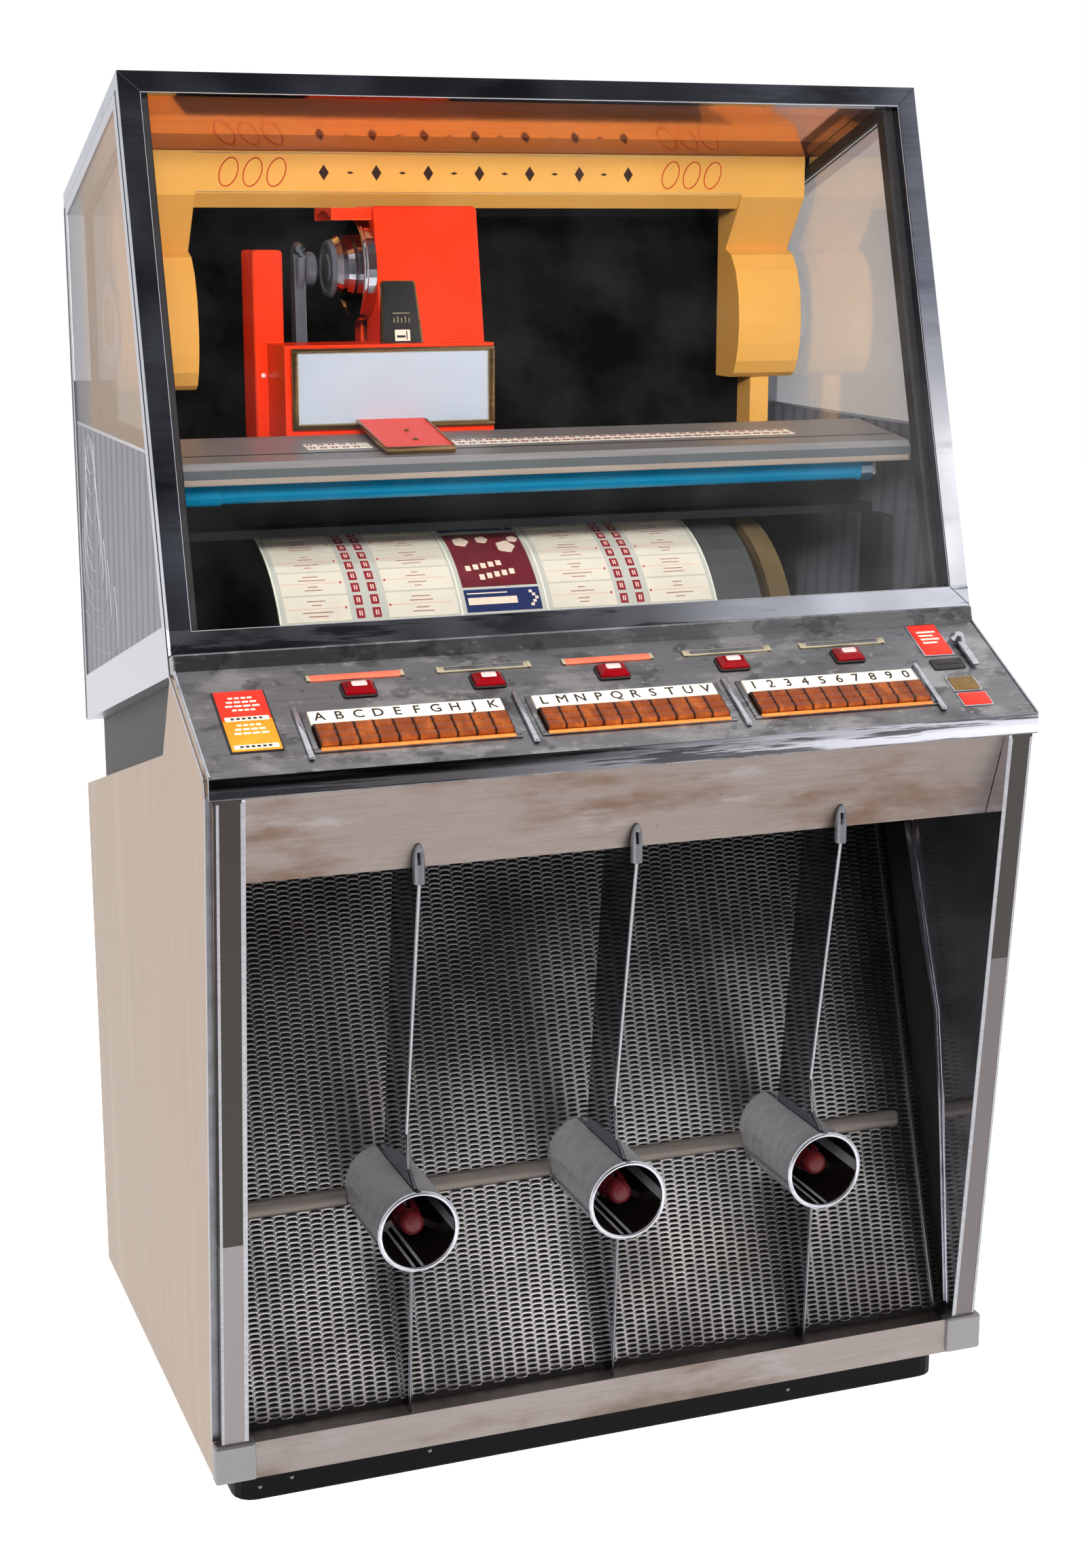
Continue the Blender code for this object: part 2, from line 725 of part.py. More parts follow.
def front_frame():
    """Posts, kick rail with its ledge, and the foot caps, as one frame round the grille."""
    ledge_z = KICK_Z - LEDGE_DROP
    ledge_y = GRILLE_FOOT_DEPTH - TOUCH
    inner = HALF - CAP_WIDTH + CAP_EDGE
    rail = side_outline(
        "front_frame",
        [
            (0.0, KICK_LOW_Z),
            (RAIL_SKIN, KICK_LOW_Z),
            (RAIL_SKIN, ledge_z - RAIL_SKIN),
            (ledge_y, ledge_z - RAIL_SKIN),
            (ledge_y, ledge_z),
            (RAIL_SKIN, ledge_z),
            (RAIL_SKIN, KICK_Z),
            (0.0, KICK_Z),
        ],
        -inner,
        inner,
        BRUSHED,
    )
    join(rail, post("post_left", -1), post("post_right", 1))
    for name, side in (("cap_left", -1), ("cap_right", 1)):
        ends = sorted((side * (HALF + CAP_RISE), side * (HALF - CAP_WIDTH)))
        cap = box(
            name,
            (ends[0], -CAP_STAND_OUT, KICK_LOW_Z),
            (ends[1], POST_THICKNESS, KICK_Z + CAP_RISE),
            edge=CAP_EDGE,
        )
        join(rail, cap)


def fascia_panel():
    """The overhanging panel under the deck, turned in along its foot."""
    half = HALF - POST_WIDTH - TOUCH
    top = LIP_LOW_Z - TOUCH
    low = top - FASCIA_HEIGHT
    top_y = LIP_Y + FASCIA_SETBACK
    low_y = top_y + FASCIA_TUCK
    side_outline(
        "fascia_panel",
        [
            (low_y, low),
            (low_y + FASCIA_RETURN, low),
            (low_y + FASCIA_RETURN, low + FASCIA_SKIN),
            (low_y + FASCIA_SKIN, low + FASCIA_SKIN),
            (top_y + FASCIA_SKIN, top),
            (top_y, top),
        ],
        -half,
        half,
        BRUSHED,
    )


def grille_panel():
    half = HALF - SIDE_THICKNESS - TOUCH
    face_box("grille_panel", GRILLE_FACE, -half, half, (0.0, GRILLE_LENGTH), (-GRILLE_THICKNESS, 0.0), MESH)


def finial(name, x, y, z):
    """The bullet that ends a fin over the fascia."""
    turns = 5
    tip = [
        (FINIAL_RADIUS * math.sin(i * math.pi / 2 / turns), FINIAL_LENGTH / 2 * math.cos(i * math.pi / 2 / turns))
        for i in range(turns + 1)
    ]
    tip.append((FINIAL_RADIUS, -FINIAL_LENGTH / 2))
    tip.append((0.0, -FINIAL_LENGTH / 2))
    return turned(name, tip, upright(x, y, z), steps=SMALL_STEPS)


def lens(name, x):
    """The bullet lens and the spider that holds it in the tube."""
    turns = 6
    profile = [
        (LENS_RADIUS * math.sin(i * math.pi / 2 / turns), LENS_LENGTH * math.cos(i * math.pi / 2 / turns))
        for i in range(turns + 1)
    ]
    profile.append((LENS_RADIUS, -SPIDER_THICKNESS))
    profile.append((0.0, -SPIDER_THICKNESS))
    depth = TUBE_MOUTH_DEPTH + SPIDER_DEPTH
    towards = Matrix.Translation((x, depth, TUBE_HEIGHT)) @ Matrix.Rotation(math.pi / 2, 4, "X")
    bullet = turned(name, profile, towards, steps=SMALL_STEPS)
    reach = TUBE_RADIUS - TUBE_WALL / 2
    for i, turn in enumerate((0.0, math.radians(120), math.radians(240))):
        arm_middle = Matrix.Translation((0.0, 0.0, reach / 2))
        place = Matrix.Translation((x, depth, TUBE_HEIGHT)) @ Matrix.Rotation(turn, 4, "Y") @ arm_middle
        join(bullet, sized_box(f"{name}_arm_{i}", (SPIDER_ARM, SPIDER_THICKNESS, reach), place))
    return bullet


def tail_tube(name, x):
    """One tail-light tube with the fin above it, the fin below it and the lens in it."""
    reach = grille_y(TUBE_HEIGHT + TUBE_RADIUS) - TUBE_MOUTH_DEPTH + OVERRUN
    inner = TUBE_RADIUS - TUBE_WALL
    middle = (TUBE_RADIUS + inner) / 2
    profile = [
        (inner, 0.0),
        (inner, reach),
        (TUBE_RADIUS, reach),
        (TUBE_RADIUS, RIM_RADIUS),
        (TUBE_RADIUS + RIM_RADIUS, RIM_RADIUS / 2),
        (TUBE_RADIUS + RIM_RADIUS, -RIM_RADIUS / 2),
        (middle, -RIM_RADIUS),
        (inner, 0.0),
    ]
    tube = turned(name, profile, inward(x, TUBE_MOUTH_DEPTH, TUBE_HEIGHT), CHROME)
    top_z = LIP_LOW_Z - TOUCH - FASCIA_HEIGHT - FASCIA_SKIN
    foot_z = TUBE_HEIGHT + inner + TUBE_WALL / 2
    half = FIN_THICKNESS / 2
    low_y = TUBE_MOUTH_DEPTH + FIN_OVERLAP
    upper_front = LIP_Y + FASCIA_SETBACK + FASCIA_TUCK - 2 * FINIAL_RADIUS
    upper_fin = side_outline(
        name + "_fin",
        [
            (TUBE_MOUTH_DEPTH + FIN_SETBACK / 2, foot_z),
            (TUBE_MOUTH_DEPTH + FIN_SETBACK / 2 + FIN_FOOT_CHORD, foot_z),
            (upper_front + FIN_TOP_CHORD, top_z),
            (upper_front, top_z),
            (low_y + FIN_SETBACK / 2, foot_z + FIN_FOOT_CHORD / 2),
            (low_y, foot_z + FIN_SETBACK),
        ],
        x - half,
        x + half,
    )
    ledge = KICK_Z - LEDGE_DROP + TOUCH
    under_z = TUBE_HEIGHT - inner - TUBE_WALL / 2
    lower_fin = side_outline(
        name + "_keel",
        [
            (GRILLE_FOOT_DEPTH / 2, ledge),
            (GRILLE_FOOT_DEPTH + OVERRUN, ledge),
            (grille_y(under_z) + OVERRUN, under_z),
            (FIN_SETBACK / 2, under_z),
        ],
        x - half,
        x + half,
    )
    bullet = finial(name + "_finial", x, upper_front + FINIAL_RADIUS / 2, top_z + FINIAL_LENGTH / 4)
    join(tube, upper_fin, lower_fin, bullet, lens(name + "_lens", x))
    low, high = -OVERRUN, GRILLE_LENGTH + OVERRUN
    reach_x = (x - TUBE_RADIUS - OVERRUN, x + TUBE_RADIUS + OVERRUN)
    behind = face_box(name + "_grille_cut", GRILLE_FACE, *reach_x, (low, high), (-CHEEK_DEPTH - OVERRUN, TOUCH))
    cut(tube, behind)
    fascia = fascia_clearance(name + "_fascia_cut", *reach_x)
    cut(tube, fascia)
    smooth(tube)


def fascia_clearance(name, x_low, x_high):
    """The room that the fascia takes behind the finials."""
    top = LIP_LOW_Z + OVERRUN
    low = LIP_LOW_Z - TOUCH - FASCIA_HEIGHT - SLIDE
    low_y = LIP_Y + FASCIA_SETBACK + FASCIA_TUCK - SLIDE
    top_y = LIP_Y + FASCIA_SETBACK - SLIDE
    slope = (low_y - top_y) / FASCIA_HEIGHT
    points = [
        (low_y, low),
        (low_y + FASCIA_RETURN + OVERRUN, low),
        (low_y + FASCIA_RETURN + OVERRUN, top),
        (low_y - slope * (top - low), top),
    ]
    return side_outline(name, points, x_low, x_high)


def bank_x(bank):
    """Middle of a key bank."""
    return (bank - (BANK_COUNT - 1) / 2) * BANK_SPACING


def button_x(index):
    return (index - (BUTTON_COUNT - 1) / 2) * BUTTON_SPACING


def selector_deck():
    """The sloping deck with its lip, its sill and the openings for keys and buttons."""
    under = -DECK_SKIN
    c = math.cos(DECK_FACE.angle)
    s = math.sin(DECK_FACE.angle)
    points = [
        (LIP_Y, LIP_LOW_Z),
        (LIP_Y + LIP_RETURN, LIP_LOW_Z),
        (LIP_Y + LIP_RETURN, LIP_LOW_Z + DECK_SKIN),
        (LIP_Y + DECK_SKIN, LIP_LOW_Z + DECK_SKIN),
        DECK_FACE.point(DECK_SKIN * (1 - s) / c, under),
        DECK_FACE.point(DECK_LENGTH, under),
        DECK_FACE.point(DECK_LENGTH, 0.0),
        (LIP_Y, LIP_Z),
    ]
    deck = side_outline("selector_deck", points, -HALF, HALF, CHROME)
    sill = face_box(
        "deck_sill",
        GLASS_FACE,
        -HALF,
        HALF,
        (-SILL_HEIGHT, -TOUCH),
        (-SILL_DEPTH + SILL_FRONT, SILL_FRONT),
        edge=SILL_FRONT / 2,
    )
    join(deck, sill)
    for bank in range(BANK_COUNT):
        x = bank_x(bank)
        half = BANK_WIDTH / 2 + SLIDE
        window = face_box(
            f"deck_bank_{bank}",
            DECK_FACE,
            x - half,
            x + half,
            (KEY_START - SLIDE, KEY_START + KEY_DEPTH + SLIDE),
            (-OVERRUN, OVERRUN),
        )
        cut(deck, window)
    for index in range(BUTTON_COUNT):
        half = BUTTON_WIDTH / 2 + SLIDE
        window = face_box(
            f"deck_button_{index}",
            DECK_FACE,
            button_x(index) - half,
            button_x(index) + half,
            (BUTTON_ALONG - BUTTON_DEPTH / 2 - SLIDE, BUTTON_ALONG + BUTTON_DEPTH / 2 + SLIDE),
            (-OVERRUN / 2, OVERRUN),
        )
        cut(deck, window)


def key_profile():
    """A key's side: a foot below the deck and a top with two grooves across it."""
    third = KEY_DEPTH / 3
    points = [(KEY_START, -KEY_FOOT), (KEY_START + KEY_DEPTH, -KEY_FOOT)]
    points.append((KEY_START + KEY_DEPTH, KEY_TOP - KEY_NOSE))
    points.append((KEY_START + KEY_DEPTH - KEY_NOSE, KEY_TOP))
    for groove in (2, 1):
        middle = KEY_START + groove * third
        points.append((middle + KEY_RIDGE, KEY_TOP))
        points.append((middle, KEY_TOP - KEY_RIDGE))
        points.append((middle - KEY_RIDGE, KEY_TOP))
    points.append((KEY_START + KEY_NOSE, KEY_TOP))
    points.append((KEY_START, KEY_TOP - KEY_NOSE))
    return [DECK_FACE.point(along, out) for along, out in points]


def keys():
    """Three banks of ten, each key sliding square to the deck."""
    labels = ("ABCDEFGHJK", "LMNPQRSTUV", "1234567890")
    profile = key_profile()
    middle = DECK_FACE.point(KEY_START + KEY_DEPTH / 2, 0.0)
    half = (KEY_PITCH - SLIDE) / 2
    for bank in range(BANK_COUNT):
        for place, label in enumerate(labels[bank]):
            x = bank_x(bank) + (place - (KEYS_PER_BANK - 1) / 2) * KEY_PITCH
            side_outline(f"key_{label}", profile, x - half, x + half, AMBER, middle)


def buttons():
    """Five cut jewels, one for each part of the title drum."""
    for index in range(BUTTON_COUNT):
        x = button_x(index)
        half = BUTTON_WIDTH / 2
        low = BUTTON_ALONG - BUTTON_DEPTH / 2
        high = BUTTON_ALONG + BUTTON_DEPTH / 2
        button = face_box(
            f"category_button_{index + 1}", DECK_FACE, x - half, x + half, (low, high), (-BUTTON_FOOT, BUTTON_TOP), RUBY
        )
        shape = bmesh.new()
        shape.from_mesh(button.data)
        top = [e for e in shape.edges if all(v.co.z > 0.0 for v in e.verts)]
        bmesh.ops.bevel(shape, geom=top, offset=BUTTON_FACET, segments=1, profile=0.5, affect="EDGES")
        shape.to_mesh(button.data)
        shape.free()


def coin_lever():
    """The coin-return lever on its boss at the right of the deck."""
    x = HALF - LEVER_INSET
    y, z = DECK_FACE.point(LEVER_ALONG, TOUCH)
    turn = Matrix.Rotation(DECK_FACE.angle, 4, "X")
    profile = [
        (0.0, LEVER_BOSS_HEIGHT),
        (LEVER_BOSS_RADIUS / 2, LEVER_BOSS_HEIGHT),
        (LEVER_BOSS_RADIUS, LEVER_BOSS_HEIGHT / 2),
        (LEVER_BOSS_RADIUS, 0.0),
        (0.0, 0.0),
    ]
    lever = turned("coin_lever", profile, Matrix.Translation((x, y, z)) @ turn, CHROME, SMALL_STEPS)
    arm = face_box(
        "lever_arm",
        DECK_FACE,
        x - LEVER_WIDTH / 2,
        x + LEVER_WIDTH / 2,
        (LEVER_ALONG - LEVER_LENGTH, LEVER_ALONG),
        (LEVER_HEIGHT / 3, LEVER_HEIGHT),
        edge=LEVER_HEIGHT / 6,
    )
    join(lever, arm)


def canopy_housing():
    """The tub that carries the drum, its neck, the rear wall and the two side window frames."""
    back = FRAME_DEPTH + GLASS_THICKNESS + LID_CLEAR
    wall_y, wall_z = GLASS_FACE.point(0.0, -back)
    drop = roof_underside()
    head = roof_meets_glass(-back, drop)
    body = side_outline(
        "canopy_housing",
        [
            (wall_y, TUB_LOW_Z + TUB_CHAMFER),
            (wall_y + TUB_CHAMFER, TUB_LOW_Z),
            (CANOPY_REAR_Y, TUB_LOW_Z),
            (CANOPY_REAR_Y, roof_z(CANOPY_REAR_Y) - drop),
            head,
            (wall_y, wall_z),
        ],
        -HOUSING_HALF,
        HOUSING_HALF,
        CHARCOAL,
    )
    outline = window_outline(drop)
    for name, side in (("window_frame_left", -1), ("window_frame_right", 1)):
        ends = sorted((side * HALF, side * (HOUSING_HALF - HOUSING_WALL / 2)))
        join(body, side_outline(name, outline, *ends))
    open_z = wall_z + HOUSING_LIP
    far_y = wall_y - OVERRUN
    far_z = TOP_Z + OVERRUN
    inside_y = wall_y + HOUSING_WALL
    rear_y = CANOPY_REAR_Y - HOUSING_WALL
    floor_z = TUB_LOW_Z + HOUSING_WALL
    inner_chamfer = TUB_CHAMFER - HOUSING_WALL * (2 - math.sqrt(2))
    room = side_outline(
        "housing_room",
        [
            (inside_y, floor_z + inner_chamfer),
            (inside_y + inner_chamfer, floor_z),
            (rear_y, floor_z),
            (rear_y, far_z),
            (far_y, far_z),
            (far_y, open_z),
            (inside_y, open_z),
        ],
        -INNER_HALF,
        INNER_HALF,
    )
    opening = inset(outline, [WINDOW_FOOT_RAIL, WINDOW_REAR_STILE, WINDOW_TOP_RAIL, WINDOW_FRONT_STILE])
    windows = side_outline("housing_windows", opening, -HALF - OVERRUN, HALF + OVERRUN)
    cut(body, room, windows)
    bore = SHAFT_RADIUS + SHAFT_RUNNING
    ring = [(bore, BOSS_LENGTH), (BOSS_RADIUS, BOSS_LENGTH), (BOSS_RADIUS, 0.0), (bore, 0.0), (bore, BOSS_LENGTH)]
    lap = HOUSING_WALL / 4
    join(body, turned("boss_left", ring, across(-INNER_HALF - lap, DRUM_Y, DRUM_Z), steps=SMALL_STEPS))
    join(body, turned("boss_right", ring, across(INNER_HALF + lap - BOSS_LENGTH, DRUM_Y, DRUM_Z), steps=SMALL_STEPS))
    for row, space in (("front", BED_POST_FRONT_SPACE), ("rear", BED_POST_REAR_SPACE)):
        for name, side in (("left", -1), ("right", 1)):
            ends = sorted((side * (INNER_HALF + lap), side * (INNER_HALF - BED_POST_WIDTH)))
            bed_post = box(
                f"bed_post_{row}_{name}",
                (ends[0], GLASS_Y + space, TUB_LOW_Z + HOUSING_WALL / 2),
                (ends[1], GLASS_Y + space + BED_POST_DEPTH, BED_LOW_Z - TOUCH),
            )
            join(body, bed_post)


def side_glasses():
    opening = inset(
        window_outline(roof_underside()),
        [
            WINDOW_FOOT_RAIL + TOUCH,
            WINDOW_REAR_STILE + TOUCH,
            WINDOW_TOP_RAIL + TOUCH,
            WINDOW_FRONT_STILE + TOUCH,
        ],
    )
    middle = HOUSING_HALF - HOUSING_WALL / 2
    half = GLASS_THICKNESS / 2
    side_outline("side_glass_left", opening, -middle - half, -middle + half, GLASS)
    side_outline("side_glass_right", opening, middle - half, middle + half, GLASS)


def lid_hinge():
    """Depth and height of the lid's hinge, along the lower edge of the roof's rear."""
    return CANOPY_REAR_Y, roof_z(CANOPY_REAR_Y) - ROOF_THICKNESS / math.cos(ROOF_SLOPE)


def lid_frame():
    """Roof and front frame in one, hinged along the roof's rear edge."""
    thick = ROOF_THICKNESS / math.cos(ROOF_SLOPE)
    inner = roof_meets_glass(-FRAME_DEPTH / 2, thick)
    roof = side_outline(
        "lid_frame",
        [
            (CANOPY_REAR_Y, roof_z(CANOPY_REAR_Y) - thick),
            (CANOPY_REAR_Y, roof_z(CANOPY_REAR_Y)),
            (TOP_Y, TOP_Z),
            roof_meets_glass(0.0, thick / 2),
            inner,
        ],
        -HALF,
        HALF,
        CHROME,
    )
    low_x = HALF - STILE_WIDTH
    depth = (-FRAME_DEPTH, 0.0)
    whole = face_box("lid_front", GLASS_FACE, -HALF, HALF, (0.0, GLASS_LENGTH), depth)
    view = (STILE_WIDTH, GLASS_LENGTH - HEAD_WIDTH)
    hole = face_box("lid_view", GLASS_FACE, -low_x, low_x, view, (-FRAME_DEPTH - OVERRUN, OVERRUN))
    cut(whole, hole)
    under = Face(CANOPY_REAR_Y, roof_z(CANOPY_REAR_Y), -ROOF_SLOPE)
    length = (CANOPY_REAR_Y - TOP_Y) / math.cos(ROOF_SLOPE)
    pocket = face_box(
        "lid_pocket",
        under,
        -INNER_HALF,
        INNER_HALF,
        (-length + ROOF_BORDER, -ROOF_BORDER),
        (-ROOF_THICKNESS - OVERRUN / 2, -ROOF_SKIN),
    )
    cut(roof, pocket)
    return join(roof, whole)


def front_glass():
    half = HALF - STILE_WIDTH + GLASS_LAP
    return face_box(
        "front_glass",
        GLASS_FACE,
        -half,
        half,
        (STILE_WIDTH - GLASS_LAP, GLASS_LENGTH - HEAD_WIDTH + GLASS_LAP),
        (-FRAME_DEPTH - TOUCH - GLASS_THICKNESS, -FRAME_DEPTH - TOUCH),
        GLASS,
    )


def title_drum():
    """The card drum, open at its right end, with its drive wheel on the same shaft."""
    left = -INNER_HALF + DRUM_LEFT_SPACE
    right = left + DRUM_LENGTH
    wheel = right + WHEEL_GAP
    end = INNER_HALF - SHAFT_RUNNING
    radius = DRUM_RADIUS
    inner = radius - DRUM_WALL
    profile = [
        (0.0, end),
        (SHAFT_RADIUS, end),
        (SHAFT_RADIUS, wheel + WHEEL_WIDTH),
        (radius - WHEEL_STEP, wheel + WHEEL_WIDTH),
        (radius - WHEEL_STEP, wheel),
        (SHAFT_RADIUS, wheel),
        (SHAFT_RADIUS, left + DRUM_WALL),
        (inner, left + DRUM_WALL),
        (inner, right),
        (radius, right),
        (radius, left),
        (SHAFT_RADIUS, left),
        (SHAFT_RADIUS, -end),
        (0.0, -end),
    ]
    smooth(turned("title_drum", profile, across(0.0, DRUM_Y, DRUM_Z), CARD))


def mechanism_bed():
    """The bed across the canopy with the scale rail in front and the record comb behind."""
    rear = BED_REAR_Y
    front = GLASS_Y + BED_FRONT_SPACE
    skin = RAIL_SKIN_THICKNESS
    apron_low = RAIL_Z - APRON_HEIGHT
    apron_y = RAIL_Y + APRON_THICKNESS
    half = INNER_HALF - TOUCH
    bed = side_outline(
        "mechanism_bed",
        [
            (rear, BED_LOW_Z),
            (rear, BED_Z),
            (RAIL_REAR_Y, BED_Z),
            (RAIL_REAR_Y, rail_z(RAIL_REAR_Y)),
            (RAIL_Y + APRON_ROUND, rail_z(RAIL_Y + APRON_ROUND)),
            (RAIL_Y, RAIL_Z - APRON_ROUND),
            (RAIL_Y, apron_low),
            (apron_y, apron_low),
            (apron_y, rail_z(apron_y) - skin),
            (RAIL_REAR_Y - skin, rail_z(RAIL_REAR_Y - skin) - skin),
            (RAIL_REAR_Y - skin, BED_Z),
            (front, BED_Z),
            (front, BED_LOW_Z),
        ],
        -half,
        half,
        GREY,
    )
    length = COMB_TEETH * COMB_PITCH + COMB_TOOTH
    base = BED_Z - BED_THICKNESS / 2
    outline = [(length / 2, base), (-length / 2, base)]
    for tooth in range(COMB_TEETH + 1):
        x = -length / 2 + tooth * COMB_PITCH
        outline.append((x, BED_Z + COMB_HEIGHT))
        outline.append((x + COMB_TOOTH, BED_Z + COMB_HEIGHT))
        if tooth < COMB_TEETH:
            outline.append((x + COMB_TOOTH, BED_Z + COMB_FLOOR))
            outline.append((x + COMB_PITCH, BED_Z + COMB_FLOOR))
    join(bed, front_outline("record_comb", outline, COMB_REAR_Y - COMB_DEPTH, COMB_REAR_Y))
    lamp_y, lamp_z, lamp_x = lamp_place()
    for name, side in (("lamp_hanger_left", -1), ("lamp_hanger_right", 1)):
        ends = sorted((side * (lamp_x + TOUCH), side * (lamp_x + TOUCH + HANGER_WIDTH)))
        hanger = box(
            name,
            (ends[0], lamp_y - LAMP_RADIUS / 2, lamp_z - LAMP_RADIUS / 2),
            (ends[1], lamp_y + LAMP_RADIUS / 2, rail_z(lamp_y) - skin / 2),
        )
        join(bed, hanger)


def lamp_place():
    """Depth and height of the lamp's axis, and half its length."""
    lamp_y = RAIL_Y + APRON_THICKNESS + LAMP_SETBACK + LAMP_RADIUS
    lamp_z = RAIL_Z - LAMP_DROP - LAMP_RADIUS
    return lamp_y, lamp_z, INNER_HALF - LAMP_END_SPACE


def lamp_tube():
    y, z, half = lamp_place()
    cap = half - LAMP_CAP_LENGTH
    step = LAMP_RADIUS / 8
    profile = [
        (0.0, half),
        (LAMP_RADIUS, half),
        (LAMP_RADIUS, cap),
        (LAMP_RADIUS - step, cap - step),
        (LAMP_RADIUS - step, -cap + step),
        (LAMP_RADIUS, -cap),
        (LAMP_RADIUS, -half),
        (0.0, -half),
    ]
    smooth(turned("lamp_tube", profile, across(0.0, y, z), TEAL, SMALL_STEPS))


def header_arch():
    """The band across the top with a scalloped bracket at each end, standing on the bed."""
    drop = ROOF_SKIN / math.cos(ROOF_SLOPE) + HEADER_ROOF_GAP
    top = roof_z(HEADER_Y) - drop
    half = INNER_HALF - HEADER_END_SPACE
    band_low = top - BAND_HEIGHT
    back = HEADER_Y + BRACKET_BACK
    waist = (HEADER_Y + WAIST_DEPTH, top - WAIST_DROP)
    bulge = (HEADER_Y + BULGE_DEPTH, top - BULGE_DROP)
    foot = (HEADER_Y + FOOT_DEPTH, top - SCALLOP_DROP)
    points = [(HEADER_Y, top), (HEADER_Y, band_low - BRACKET_STEP), waist]
    turns = 4
    for i in range(1, turns + 1):
        t = i / turns * math.pi / 2
        points.append((waist[0] + (bulge[0] - waist[0]) * math.sin(t), bulge[1] + (waist[1] - bulge[1]) * math.cos(t)))
    for i in range(1, turns + 1):
        t = i / turns * math.pi / 2
        points.append((foot[0] + (bulge[0] - foot[0]) * math.cos(t), bulge[1] + (foot[1] - bulge[1]) * math.sin(t)))
    points += [(back, foot[1]), (back, roof_z(back) - drop)]
    arch = side_outline("header_arch", points, -half, half, YELLOW)
    inner = half - BRACKET_WIDTH
    room = side_outline(
        "header_room",
        [
            (HEADER_Y - OVERRUN, band_low + OVERRUN),
            (HEADER_Y - OVERRUN, foot[1] - OVERRUN),
            (back + OVERRUN, foot[1] - OVERRUN),
            (back + OVERRUN, top + OVERRUN),
            (HEADER_Y + HEADER_THICKNESS, top + OVERRUN),
            (HEADER_Y + HEADER_THICKNESS, band_low - BAND_BEVEL),
            (HEADER_Y + BAND_BEVEL, band_low - BAND_BEVEL),
        ],
        -inner,
        inner,
    )
    cut(arch, room)
    foot_points = [
        (foot[0] + BRACKET_STEP, foot[1] + BAND_BEVEL),
        (foot[0] + BRACKET_STEP, BED_Z + TOUCH),
        (back - BRACKET_STEP, BED_Z + TOUCH),
        (back - BRACKET_STEP, foot[1] + BAND_BEVEL),
    ]
    for name, side in (("bracket_foot_left", -1), ("bracket_foot_right", 1)):
        near = inner + BRACKET_FOOT_INSET
        ends = sorted((side * near, side * (near + BRACKET_FOOT_WIDTH)))
        join(arch, side_outline(name, foot_points, *ends))


def cover_places():
    """Left edge, edges of the bay, right edge and top heights of the cover."""
    left = -INNER_HALF + CARRIAGE_LEFT_SPACE
    bay = left + COLUMN_WIDTH
    tower = bay + BAY_WIDTH
    right = tower + TOWER_WIDTH
    tower_top = roof_z(COVER_REAR_Y) - roof_underside() - COVER_HEADROOM
    return left, bay, tower, right, tower_top


def mechanism_cover():
    """The red cover: a column, a low box with the name space, and a tower hooded over the turntable."""
    left, bay, tower, right, tower_top = cover_places()
    skin = COVER_SKIN
    low = RAIL_Z + SLIDE
    box_top = low + BOX_HEIGHT
    box_left = left + BOX_INSET
    box_rear = COVER_Y + BOX_DEPTH
    column_top = tower_top - COLUMN_DROP
    cover = box("mechanism_cover", (box_left, COVER_Y, low), (right, box_rear, box_top), RED, COVER_EDGE / 4)
    column = box(
        "cover_column",
        (left, box_rear - skin / 2, low + COVER_EDGE / 2),
        (bay, COVER_REAR_Y - skin / 2, column_top),
        edge=COVER_EDGE,
    )
    front_low = COVER_Y + TOWER_SETBACK
    tower_outline = [
        (front_low, low + COVER_EDGE),
        (COVER_REAR_Y, low + COVER_EDGE),
        (COVER_REAR_Y, tower_top),
        (front_low + TOWER_RUN, tower_top),
    ]
    tall = side_outline("cover_tower", tower_outline, tower, right - COVER_EDGE / 2)
    soften(tall, COVER_EDGE)
    axis_z = tower_top - TURNTABLE_DROP
    axis_y = turntable_y()
    hood = box(
        "cover_hood",
        (tower - HOOD_WIDTH, front_low + TOWER_RUN + HOOD_SETBACK / 2, axis_z),
        (tower + COVER_EDGE, COVER_REAR_Y - COVER_EDGE, tower_top - COVER_EDGE / 2),
    )
    clear = TURNTABLE_RADIUS + HOOD_CLEARANCE
    swing = turned(
        "hood_clearance",
        [(0.0, 0.0), (clear, 0.0), (clear, -HOOD_WIDTH - OVERRUN), (0.0, -HOOD_WIDTH - OVERRUN)],
        across(tower, axis_y, axis_z),
    )
    cut(hood, swing)
    join(cover, column, tall, hood)
    inner_tall = side_outline(
        "cover_tower_room",
        inset(tower_outline, [-OVERRUN, skin, skin, skin]),
        tower + skin,
        right - COVER_EDGE / 2 - skin,
    )
    inner_front = box(
        "cover_box_room",
        (box_left + skin, COVER_Y + skin, low - OVERRUN),
        (right - skin, box_rear - skin, box_top - skin),
    )
    inner_column = box(
        "cover_column_room",
        (left + skin, box_rear + skin, low - OVERRUN),
        (bay - skin, COVER_REAR_Y - 1.5 * skin, column_top - skin),
    )
    slot = box(
        "cover_spindle_slot",
        (tower - OVERRUN / 2, axis_y - 2 * SPINDLE_RADIUS, low - OVERRUN),
        (tower + 2 * skin, axis_y + 2 * SPINDLE_RADIUS, axis_z + 2 * SPINDLE_RADIUS),
    )
    cut(cover, inner_tall, inner_front, inner_column, slot)
    middle = box_left + POINTER_START + POINTER_WIDTH / 2
    tip = COVER_Y - POINTER_LENGTH
    root = COVER_Y + skin / 2
    tip_z = rail_z(tip) + POINTER_FRONT_LIFT
    root_z = rail_z(root) + POINTER_REAR_LIFT
    pointer = side_outline(
        "cover_pointer",
        [
            (tip, tip_z),
            (root, root_z),
            (root, root_z + POINTER_THICKNESS),
            (tip, tip_z + POINTER_THICKNESS),
        ],
        middle - POINTER_WIDTH / 2,
        middle + POINTER_WIDTH / 2,
    )
    return join(cover, pointer)


def turntable_y():
    return COVER_REAR_Y - TURNTABLE_REAR_SPACE


